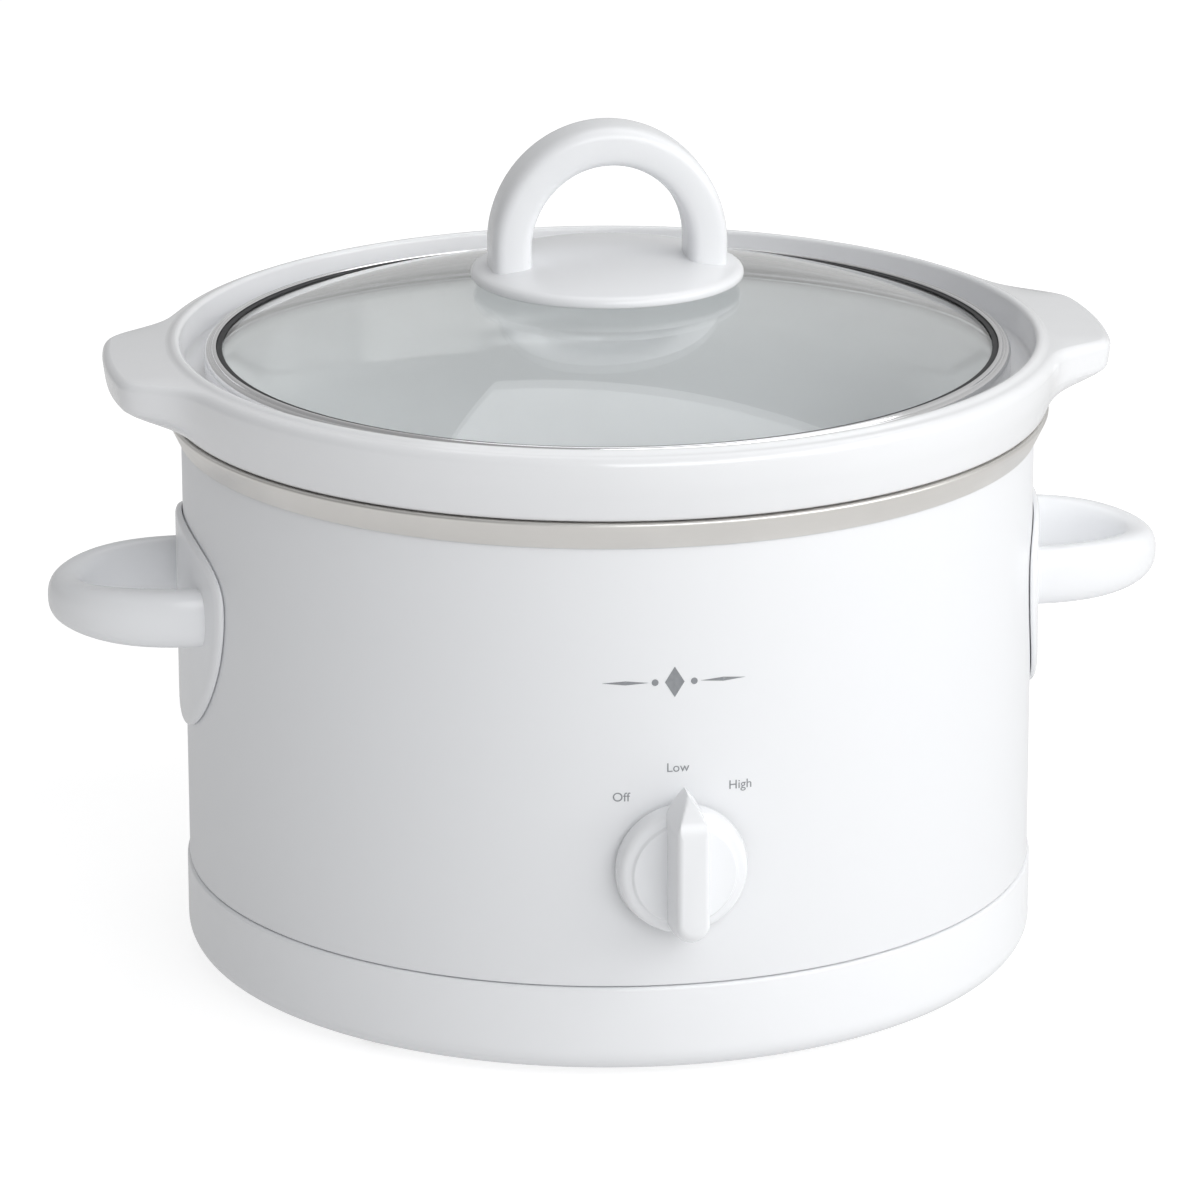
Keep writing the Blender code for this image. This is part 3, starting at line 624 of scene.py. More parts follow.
@dataclass(frozen=True)
class ClearGlass(Finish):
    """Clear tempered glass with a trace of wiping marks."""

    def lay_out(self, sheet: FinishSheet) -> None:
        """Lays out the glass."""
        wiped = sheet.between(sheet.noise(70.0, 4.0), 0.0, 1.0, 0.35, 0.75)
        sheet.colour(wiped, self.colour, self.shade(0.985))
        sheet.rough(wiped, 0.004, 0.03, 0.0, 1.0)
        sheet.relief(sheet.noise(35.0, 1.0), 0.05, 0.10 * MM)
        sheet.set(IOR=1.47, Transmission_Weight=1.0)
        sheet.clear_shadow(self.colour)


@dataclass(frozen=True)
class SoftRubber(Finish):
    """Matt rubber or silicone with a dusty bloom."""

    roughness: float = 0.65
    bloom: float = 1.25

    def lay_out(self, sheet: FinishSheet) -> None:
        """Lays out the rubber."""
        dust = sheet.between(sheet.noise(240.0, 4.0), 0.0, 1.0)
        sheet.colour(dust, self.colour, self.shade(self.bloom))
        sheet.rough(dust, self.roughness - 0.08, self.roughness + 0.10, 0.0, 1.0)
        sheet.relief(sheet.noise(1800.0, 3.0), 0.25, 0.06 * MM)


@dataclass(frozen=True)
class WovenTape(Finish):
    """Woven glass-fibre tape or sleeve: threads over and under each other."""

    threads: float = 900.0
    drum: float = 0.105

    def lay_out(self, sheet: FinishSheet) -> None:
        """Lays out the weave."""
        parts = sheet.split(sheet.wrapped_place(self.drum))
        turns = self.threads * math.pi
        warp, weft = (sheet.math("SINE", sheet.math("MULTIPLY", parts[axis], turns)) for axis in "XY")
        weave = sheet.between(sheet.math("MULTIPLY", warp, weft), 0.0, 1.0, -1.0, 1.0)
        fuzz = sheet.noise(1500.0, 3.0)
        worn = sheet.math("ADD", sheet.math("MULTIPLY", weave, 0.7), sheet.math("MULTIPLY", fuzz, 0.3))
        sheet.colour(worn, self.shade(0.66), self.colour)
        sheet.rough(fuzz, 0.75, 0.92)
        sheet.relief(weave, 0.6, 0.20 * MM)
        sheet.relief(fuzz, 0.2, 0.05 * MM)


@dataclass(frozen=True)
class PrintInk(Finish):
    """Thin grey pad-printing ink."""

    def lay_out(self, sheet: FinishSheet) -> None:
        """Lays out the ink."""
        thin = sheet.between(sheet.noise(900.0, 3.0), 0.0, 1.0)
        sheet.colour(thin, self.colour, self.shade(1.18))
        sheet.rough(thin, 0.38, 0.48, 0.0, 1.0)
        sheet.relief(sheet.noise(2400.0, 2.0), 0.06, 0.02 * MM)


WHITE_PLASTIC = MouldedPlastic("white_moulded_plastic", (0.88, 0.89, 0.91), 0.26)
SHELL_ENAMEL = Enamel("white_baked_enamel", (0.85, 0.86, 0.88))
CROCK_GLAZE = Glaze("white_stoneware_glaze", (0.87, 0.878, 0.895))
LINER_METAL = TurnedMetal("dull_spun_aluminium", (0.84, 0.82, 0.79), 0.33, 0.25, 0.90)
BRIGHT_STEEL = TurnedMetal("polished_steel", (0.80, 0.80, 0.81), 0.14, 0.10, 0.95)
RIM_STEEL = TurnedMetal("rolled_rim_steel", (0.88, 0.88, 0.89), 0.10, 0.08, 0.95)
ZINC_STEEL = ZincPlate("zinc_plated_steel", (0.62, 0.63, 0.65))
LID_GLASS = ClearGlass("clear_tempered_glass", (0.97, 0.985, 0.98))
BLACK_RUBBER = SoftRubber("black_rubber", (0.028, 0.028, 0.030), 0.68, 1.5)
GASKET_SILICONE = SoftRubber("clear_grey_silicone", (0.68, 0.68, 0.67), 0.5, 1.08)
HEATER_TAPE = WovenTape("woven_heater_tape", (0.72, 0.67, 0.56), 620.0, 0.104)
LEAD_SLEEVE = WovenTape("braided_lead_sleeve", (0.82, 0.80, 0.74), 1100.0, 0.110)
SWITCH_PLASTIC = MouldedPlastic("dark_switch_plastic", (0.055, 0.055, 0.060), 0.46, 0.12)
SPRING_BRASS = TurnedMetal("drawn_brass", (0.78, 0.60, 0.30), 0.30, 0.20, 0.85)
MARK_INK = PrintInk("grey_print_ink", (0.25, 0.26, 0.275))

SLOT_FINISHES = {
    Slot.SHELL: SHELL_ENAMEL,
    Slot.WHITE: WHITE_PLASTIC,
    Slot.GLAZE: CROCK_GLAZE,
    Slot.ALUMINIUM: LINER_METAL,
    Slot.ZINC: ZINC_STEEL,
    Slot.STEEL: BRIGHT_STEEL,
    Slot.BRASS: SPRING_BRASS,
    Slot.RUBBER: BLACK_RUBBER,
    Slot.SILICONE: GASKET_SILICONE,
    Slot.FABRIC: HEATER_TAPE,
    Slot.SLEEVE: LEAD_SLEEVE,
    Slot.SWITCH: SWITCH_PLASTIC,
    Slot.GLASS: LID_GLASS,
}


# ---------------------------------------------------------------- the bench


@dataclass
class Bench:
    """What every sub-assembly shares: where the cooker's axis stands, and the finishes made so far."""

    centre: Vector
    made: dict[str, bpy.types.Material] = field(default_factory=dict)

    def finish(self, finish: Finish) -> bpy.types.Material:
        """A finish's material, built once.

        Args:
            finish: The finish.

        Returns:
            Its material.
        """
        if finish.name not in self.made:
            self.made[finish.name] = finish.material(self.centre)
        return self.made[finish.name]

    def add(
        self,
        name: str,
        bm: BMesh,
        body: Body,
        slot: Slot,
        nodes: Sequence[str],
        finish: Finish | None = None,
        place: Matrix | None = None,
        sharp_deg: float = SHARP_DEG,
    ) -> bpy.types.Object:
        """slot: The record's finish slot, whose finish the piece takes unless finish is given.
            finish: Its finish, if not the slot's own.
            place: Where the mesh goes, if it isn't made round the cooker's axis.
            sharp_deg: The angle past which an edge shows.

        Returns:
            The piece.
        """
        bmesh.ops.transform(bm, matrix=place or Matrix.Translation(self.centre), verts=bm.verts[:])
        bmesh.ops.recalc_face_normals(bm, faces=bm.faces[:])
        shaded(bm, sharp_deg)
        mesh = bpy.data.meshes.new(name)
        bm.to_mesh(mesh)
        bm.free()
        piece = placed(name, mesh)
        mesh.materials.append(self.finish(finish or SLOT_FINISHES[slot]))
        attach(piece, body.value)
        if nodes:
            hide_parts(*nodes)
        LOG.info("%s: %d faces, rides on %s", name, len(mesh.polygons), body.value)
        return piece


def around(radius: float, height: float, angle_deg: float) -> Vector:
    """A point at a distance from the axis, in the mesh's own place."""
    angle = math.radians(angle_deg)
    return Vector((radius * math.cos(angle), radius * math.sin(angle), height))


def facing(direction: Vector, place: Vector) -> Matrix:
    """A place whose Z points along a direction.

    Args:
        direction: Where Z points.
        place: Where its origin is.

    Returns:
        The place as a matrix.
    """
    return Matrix.Translation(place) @ direction.to_track_quat("Z", "Y").to_matrix().to_4x4()


# ---------------------------------------------------------------- the base


@dataclass
class CookerBase:
    """The shell, the moulded base ring, the feet and the liner with its visible rim."""

    bench: Bench
    shell_radius: float = 118.0 * MM
    shell_wall: float = 0.8 * MM
    shell_top: float = 152.5 * MM
    seam: float = 27.0 * MM
    ring_radius: float = 118.7 * MM
    ring_bottom: float = 2.4 * MM
    foot_radius: float = 4.5 * MM
    foot_circle: float = 104.2 * MM
    liner_wall: float = 0.8 * MM
    liner_floor: float = 39.1 * MM
    liner_top: float = 156.6 * MM
    rim_low: float = 149.0 * MM
    dial_height: float = 61.0 * MM
    inlet_height: float = 44.0 * MM
    grip_height: float = 107.2 * MM
    screw_deg: float = 12.4
    dial_hole: float = 5.0 * MM
    inlet_hole: float = 6.2 * MM
    screw_hole: float = 2.4 * MM
    drill_length: float = 20.0 * MM
    foot_deg: float = 45.0
    pocket: float = 1.2 * MM

    def build(self) -> None:
        """Builds every piece of the base that shows."""
        self.add_shell()
        self.add_ring()
        self.add_feet()
        self.add_liner()
        self.add_inlet_bush()

    def add_shell(self) -> None:
        """The straight enamelled drum, with its edges rolled in and its holes."""
        outer, inner, low = self.shell_radius, self.shell_radius - self.shell_wall, self.seam + GAP
        shell = turned(
            Corner(inner, low),
            Corner(outer, low, 0.45 * MM, 4),
            Corner(outer, self.shell_top, 0.3 * MM, 3),
            Corner(inner, self.shell_top),
        )
        front = facing(Vector((0, -1, 0)), Vector((0, -outer, self.dial_height)))
        rear = facing(Vector((0, 1, 0)), Vector((0, outer, self.inlet_height)))
        shell = merged(shell, rod(self.dial_hole, self.drill_length, front), Merge.CUT)
        shell = merged(shell, rod(self.inlet_hole, self.drill_length, rear), Merge.CUT)
        for side in Side:
            for lean in (-self.screw_deg, self.screw_deg):
                angle = lean if side is Side.RIGHT else 180 + lean
                spot = around(outer, self.grip_height, angle)
                out = Vector((spot.x, spot.y, 0))
                drill = rod(self.screw_hole, self.drill_length, facing(out, spot), DRILL_STEPS)
                shell = merged(shell, drill, Merge.CUT)
        self.bench.add("enamelled_shell", shell, Body.BASE, Slot.SHELL, ["outer_shell"])

    def add_ring(self) -> None:
        """The moulded ring under the shell, with a soft shoulder at the seam and a rounded foot."""
        lip = self.shell_radius - self.shell_wall - GAP
        plate_edge, plate_step = 99.0 * MM, 91.0 * MM
        low_face, high_face, wall_inside = 6.7 * MM, 8.9 * MM, 114.2 * MM
        ring = turned(
            Corner(self.ring_radius, self.seam, 0.9 * MM, 6),
            Corner(self.ring_radius, self.ring_bottom, 7.0 * MM, 14),
            Corner(plate_edge, self.ring_bottom, 0.4 * MM, 3),
            Corner(plate_edge, low_face),
            Corner(plate_step, low_face),
            Corner(plate_step, high_face),
            Corner(wall_inside, high_face, 4.0 * MM, 6),
            Corner(wall_inside, 31.0 * MM),
            Corner(lip, 31.0 * MM, 0.5 * MM, 3),
            Corner(lip, self.seam),
        )
        for i in range(4):
            spot = around(self.foot_circle, self.ring_bottom, self.foot_deg + 90 * i)
            pocket = rod(self.foot_radius + GAP, 2 * self.pocket, Matrix.Translation(spot))
            ring = merged(ring, pocket, Merge.CUT)
        self.bench.add("base_moulding", ring, Body.BASE, Slot.WHITE, ["base_ring"])

    def add_feet(self) -> None:
        """The four rubber feet, dished underneath."""
        top = self.ring_bottom + self.pocket - GAP
        radius = self.foot_radius
        for i, place in enumerate(("rear_right", "rear_left", "front_left", "front_right")):
            foot = turned(
                Corner(0.0, top),
                Corner(radius, top, 0.2 * MM, 2),
                Corner(radius, 0.0, 1.2 * MM, 6),
                Corner(radius * 0.55, 0.0, 0.3 * MM, 3),
                Corner(radius * 0.4, 0.35 * MM, 0.2 * MM, 3),
                Corner(0.0, 0.35 * MM),
                closed=False,
                steps=SMALL_STEPS,
            )
            spot = around(self.foot_circle, 0.0, self.foot_deg + 90 * i)
            matrix = Matrix.Translation(self.bench.centre + spot)
            name = f"rubber_foot_{place}"
            self.bench.add(name, foot, Body.BASE, Slot.RUBBER, [f"foot_{place}"], place=matrix)

    def add_liner(self) -> None:
        """The spun liner, whose rolled rim shows as a grey band round the top of the shell."""
        wall, top = self.liner_wall, self.liner_top
        floor_in, mouth_in = 99.0 * MM, 107.3 * MM
        rim_out = self.shell_radius + 4.4 * MM
        skirt = self.shell_radius + 0.75 * MM
        liner = turned(
            Corner(0.0, self.liner_floor + wall),
            Corner(floor_in, self.liner_floor + wall, 9.0 * MM, 10),
            Corner(mouth_in, top, 3.0 * MM, 6),
            Corner(rim_out, top, 1.3 * MM, 8),
            Corner(skirt, self.rim_low, 0.2 * MM, 2),
            Corner(skirt - wall, self.rim_low, 0.2 * MM, 2),
            Corner(rim_out - wall, top - wall - 0.2 * MM, 0.8 * MM, 5),
            Corner(mouth_in + wall * 0.6, top - wall, 3.4 * MM, 6),
            Corner(floor_in + wall * 0.6, self.liner_floor, 9.6 * MM, 10),
            Corner(0.0, self.liner_floor),
            closed=False,
        )
        self.bench.add("spun_liner", liner, Body.BASE, Slot.ALUMINIUM, ["heater_liner"])

    def add_inlet_bush(self) -> None:
        """The ribbed bush at the back that the mains lead would come through."""
        bore = 3.6 * MM
        bush = turned(
            Corner(bore, 3.0 * MM, 0.4 * MM, 4),
            Corner(5.6 * MM, 3.0 * MM, 0.6 * MM, 4),
            Corner(6.4 * MM, 1.9 * MM, 0.4 * MM, 4),
            Corner(8.5 * MM, 1.6 * MM, 0.5 * MM, 4),
            Corner(8.5 * MM, 0.5 * MM),
            Corner(5.8 * MM, 0.5 * MM),
            Corner(5.8 * MM, -2.6 * MM),
            Corner(7.6 * MM, -2.6 * MM),
            Corner(7.6 * MM, -4.2 * MM, 0.5 * MM, 3),
            Corner(bore, -4.2 * MM, 0.3 * MM, 3),
            steps=SMALL_STEPS,
        )
        spot = self.bench.centre + Vector((0, self.shell_radius, self.inlet_height))
        place = facing(Vector((0, 1, 0)), spot)
        self.bench.add("rear_cord_bush", bush, Body.BASE, Slot.RUBBER, ["cord_inlet_bush"], place=place)


@dataclass
class SideHandles:
    """The two side handles, each a loop grip on a shield-shaped pad."""

    bench: Bench
    shell_radius: float = 118.0 * MM
    tip: float = 156.22 * MM
    height: float = 107.2 * MM
    half_span: float = 25.5 * MM
    thick: float = 10.4 * MM
    tall: float = 16.2 * MM
    pad_top: float = 128.2 * MM
    pad_wide: float = 112.0 * MM
    pad_low: float = 69.5 * MM
    pad_half: float = 40.0 * MM
    pad_thick: float = 1.8 * MM
    rim_steps: int = 7
    screw_deg: float = 12.4
    screw_bore: float = 1.9 * MM
    screw_depth: float = 13.0 * MM
    halvings: int = 30
    leg: float = 4.0 * MM
    fullness: float = 2.5
    taper: float = 0.24

    def build(self) -> None:
        """Builds both handles."""
        for side in Side:
            handle = merged(self.pad(), self.grip(), Merge.JOIN)
            handle = merged(handle, self.drum(), Merge.CUT)
            for lean in (-self.screw_deg, self.screw_deg):
                spot = around(self.shell_radius + GAP, self.height, lean)
                place = facing(Vector((spot.x, spot.y, 0)), spot)
                bore = rod(self.screw_bore, self.screw_depth, place, DRILL_STEPS)
                handle = merged(handle, bore, Merge.CUT)
            turn = Matrix.Rotation(0.0 if side is Side.RIGHT else math.pi, 4, "Z")
            name = f"{side.name.lower()}_loop_handle"
            node = f"{side.name.lower()}_handle"
            place = Matrix.Translation(self.bench.centre) @ turn
            self.bench.add(
                name, handle, Body.BASE, Slot.WHITE, [node], place=place, sharp_deg=HANDLE_SHARP_DEG
            )

    @property
    def middle(self) -> float:
        """The height that the pad's outline is drawn round."""
        return self.pad_wide - 6.0 * MM

    def half_width(self, height: float) -> float:
        """Half the pad's width at a height."""
        if height >= self.pad_wide:
            share = (height - self.pad_wide) / (self.pad_top - self.pad_wide)
            return self.pad_half * max(0.0, 1 - share**2.6) ** 0.47
        share = (self.pad_wide - height) / (self.pad_wide - self.pad_low)
        return self.pad_half * max(0.0, 1 - share**1.9) ** 0.55

    def outline(self, count: int) -> list[tuple[float, float]]:
        """The pad's outline, evenly turned about its middle, as (along the shell, height) from that middle.

        Args:
            count: How many corners it has.

        Returns:
            The corners in order.
        """
        places = []
        for i in range(count):
            angle = FULL_TURN * i / count
            along, up = math.cos(angle), math.sin(angle)
            low, high = 0.0, 60 * MM
            for _ in range(self.halvings):
                reach = (low + high) / 2
                height = self.middle + reach * up
                level = self.pad_low < height < self.pad_top
                inside = level and abs(reach * along) < self.half_width(height)
                low, high = (reach, high) if inside else (low, reach)
            places.append((low * along, low * up))
        return places

    def pad(self) -> BMesh:
        """The pad: a shield with a broad rounded rim, wrapped round the shell on the right-hand side.

        Returns:
            The pad as a closed mesh.
        """
        outline = self.outline(FINE_STEPS)
        inner = self.shell_radius + GAP
        levels = [(share, 0.0) for share in (0.12, 0.3, 0.5, 0.7, 0.85)]
        levels += [(0.994, 0.0), (1.0, 0.12)]
        for i in range(self.rim_steps + 1):
            angle = 0.5 * math.pi * i / self.rim_steps
            levels.append((0.925 + 0.075 * math.cos(angle), 0.3 + 0.7 * math.sin(angle)))
        levels += [(share, 1.0) for share in (0.82, 0.66, 0.5, 0.34, 0.18, 0.08)]
        rings = []
        for share, rise in levels:
            ring = []
            for along, up in outline:
                angle = along * share / inner
                radius = inner + self.pad_thick * rise
                height = self.middle + up * share
                ring.append(Vector((radius * math.cos(angle), radius * math.sin(angle), height)))
            rings.append(ring)
        return lofted(rings)

    def grip(self) -> BMesh:
        """The loop: an oval bar bent round half an oval, its legs sunk in the pad.

        Returns:
            The loop as a closed mesh.
        """
        start = self.shell_radius + GAP - 3.4 * MM
        rise = self.tip - self.thick / 2 - start - self.leg
        bend = loop_line(-self.half_span, start, self.leg, rise, 48)
        path = [Vector((out, across, 0)) for across, out in bend]
        half_wide, half_tall = self.thick / 2, self.tall / 2
        return swept(path, Vector((0, 0, 1)), half_wide, half_tall, self.height, self.fullness, self.taper)

    def drum(self) -> BMesh:
        """The space inside the shell, which the handle keeps out of."""
        place = Matrix.Translation((0, 0, self.height))
        return rod(self.shell_radius + GAP, 70 * MM, place, ROUND_STEPS)


def loop_line(
    half: float, start: float, leg: float, rise: float, steps: int
) -> list[tuple[float, float]]:
    """The middle line of a loop handle: a leg, half an oval and a leg, as (across, out).

    Args:
        half: Half its span, negative to start on the near side.
        start: How far out its ends are.
        leg: How far the legs run straight.
        rise: How far the oval rises past them.
        steps: Parts of the oval.

    Returns:
        The line's points in order.
    """
    line = [(half, start), (half, start + leg * 0.6)]
    for i in range(steps + 1):
        angle = math.pi * i / steps
        line.append((half * math.cos(angle), start + leg + rise * math.sin(angle)))
    return line + [(-half, start + leg * 0.6), (-half, start)]


def swept(
    path: Sequence[Vector],
    up: Vector,
    half_wide: float,
    half_tall: float,
    height: float,
    fullness: float = 2.5,
    taper: float = 0.0,
) -> BMesh:
    """Sweeps an oval bar along a path that lies in one plane.

    Args:
        path: The bar's middle line.
        up: The way that stands square to the path's plane.
        half_wide: Half the bar's size in that plane.
        half_tall: Half its size along up.
        height: How far the whole bar is moved along up.
        fullness: 2 for a plain oval, more for a squarer one.
        taper: The share of the height along up that is lost halfway along the path.

    Returns:
        The bar as a closed mesh.
    """
    rings = []
    ends = (path[0] + path[-1]) / 2
    half = len(path) // 2
    reach = max((point - ends).length for point in path[half - 1 : half + 2])
    outward = (path[half] - ends).normalized()
    for i, point in enumerate(path):
        along = (path[min(i + 1, len(path) - 1)] - path[max(i - 1, 0)]).normalized()
        across = along.cross(up)
        slim = 1 - taper * max(0.0, (point - ends).dot(outward) / reach) ** 4
        ring = []
        for j in range(SWEPT_SIDES):
            angle = FULL_TURN * j / SWEPT_SIDES
            cos, sin = math.cos(angle), math.sin(angle)
            wide = math.copysign(abs(cos) ** (2 / fullness), cos) * half_wide
            tall = math.copysign(abs(sin) ** (2 / fullness), sin) * half_tall
            ring.append(point + across * wide + up * (tall * slim + height))
        rings.append(ring)
    return lofted(rings)


# ---------------------------------------------------------------- the crock


@dataclass
class Crock:
    """The stoneware crock with its collar, raised lip and two lugs."""

    bench: Bench
    bottom: float = 43.0 * MM
    wall: float = 7.0 * MM
    floor_radius: float = 95.5 * MM
    mouth_radius: float = 104.3 * MM
    collar_low: float = 156.9 * MM
    collar_top: float = 176.0 * MM
    collar_radius: float = 124.96 * MM
    recess_radius: float = 118.0 * MM
    ledge: float = 166.2 * MM
    lug_tip: float = 139.4 * MM
    lug_side_offset: float = 91.7 * MM
    lug_side_deg: float = 59.7
    lug_drop: float = 0.06
    lug_end_soft: float = 2.0 * MM
    lug_root_soft: float = 3.2 * MM
    steps: int = 480
    crowding: float = 0.25

    def build(self) -> None:
        """Builds the crock."""
        top, low = self.mouth_radius, self.floor_radius
        crock = turned(
            Corner(0.0, self.bottom + 1.0 * MM),
            Corner(low - 14 * MM, self.bottom + 1.0 * MM, 1.0 * MM, 3),
            Corner(low - 16 * MM, self.bottom, 0.8 * MM, 3),
            Corner(low, self.bottom, 10.0 * MM, 12),
            Corner(top, self.collar_low - 3 * MM, 1.0 * MM, 3),
            Corner(top + 0.5 * MM, self.collar_low, 0.5 * MM, 3),
            Corner(self.collar_radius - 3.6 * MM, self.collar_low, 1.2 * MM, 6),
            Corner(self.collar_radius - 1.9 * MM, self.collar_low + 6 * MM, 2.5 * MM, 4),
            Corner(self.collar_radius - 0.9 * MM, self.collar_low + 10 * MM, 1.8 * MM, 4),
            Corner(self.collar_radius, self.collar_top - 1.6 * MM, 2.7 * MM, 10),
            Corner(self.recess_radius + 3.4 * MM, self.collar_top - 0.9 * MM, 0.6 * MM, 5),
            Corner(self.recess_radius + 1.9 * MM, self.collar_top, 0.6 * MM, 5),
            Corner(self.recess_radius, self.collar_top, 1.2 * MM, 6),
            Corner(self.recess_radius - 0.4 * MM, self.ledge, 1.5 * MM, 6),
            Corner(106.0 * MM, self.ledge, 2.0 * MM, 8),
            Corner(top - self.wall, self.ledge - 16 * MM, 6.0 * MM, 8),
            Corner(low - self.wall, self.bottom + self.wall, 14.0 * MM, 16),
            Corner(0.0, self.bottom + self.wall),
            closed=False,
            steps=self.steps,
        )
        for vert in crock.verts:
            vert.co = self.with_lugs(self.crowded(vert.co))
        self.bench.add("glazed_crock", crock, Body.CROCK, Slot.GLAZE, ["stoneware_crock"])

    def crowded(self, point: Vector) -> Vector:
        """Shifts a point round the axis so that the facets lie closer together at the lugs."""
        angle = math.atan2(point.y, point.x)
        return Matrix.Rotation(-self.crowding * math.sin(2 * angle), 3, "Z") @ point

    def lug_radius(self, angle_deg: float) -> float:
        """The collar's outline seen from above: a round end, slanted sides, then the round collar.

        Args:
            angle_deg: The angle about the axis from the right-hand side.

        Returns:
            The outline's distance from the axis.
        """
        away = math.radians(min(abs(angle_deg), 180 - abs(angle_deg)))
        side = self.lug_side_offset / math.cos(max(0.0, math.radians(self.lug_side_deg) - away))
        tab = -blend_high(-self.lug_tip, -side, self.lug_end_soft)
        return blend_high(tab, self.collar_radius, self.lug_root_soft)

    def with_lugs(self, point: Vector) -> Vector:
        """Pulls the collar's outer face out at the two sides, more at the top than at the bottom.

        Args:
            point: A point of the plain round crock.

        Returns:
            Where it goes.
        """
        radius = math.hypot(point.x, point.y)
        start = self.recess_radius + 4.0 * MM
        if radius < start or point.z < self.collar_low + 0.2 * MM:
            return point.copy()
        out = self.lug_radius(math.degrees(math.atan2(point.y, point.x))) - self.collar_radius
        rise = smooth((point.z - self.collar_low) / (9.5 * MM))
        scale = 1 + out * rise / radius
        drop = self.lug_drop * out * smooth((point.z - (self.collar_top - 6 * MM)) / (6 * MM))
        return Vector((point.x * scale, point.y * scale, point.z - drop))


def blend_high(first: float, second: float, soft: float) -> float:
    """The higher of two values, with a smooth change of about soft between them."""
    return soft * math.log(math.exp((first - second) / soft) + 1) + second


def smooth(share: float) -> float:
    """An even ease from 0 to 1."""
    held = min(1.0, max(0.0, share))
    return held * held * (3 - 2 * held)


# ---------------------------------------------------------------- the lid


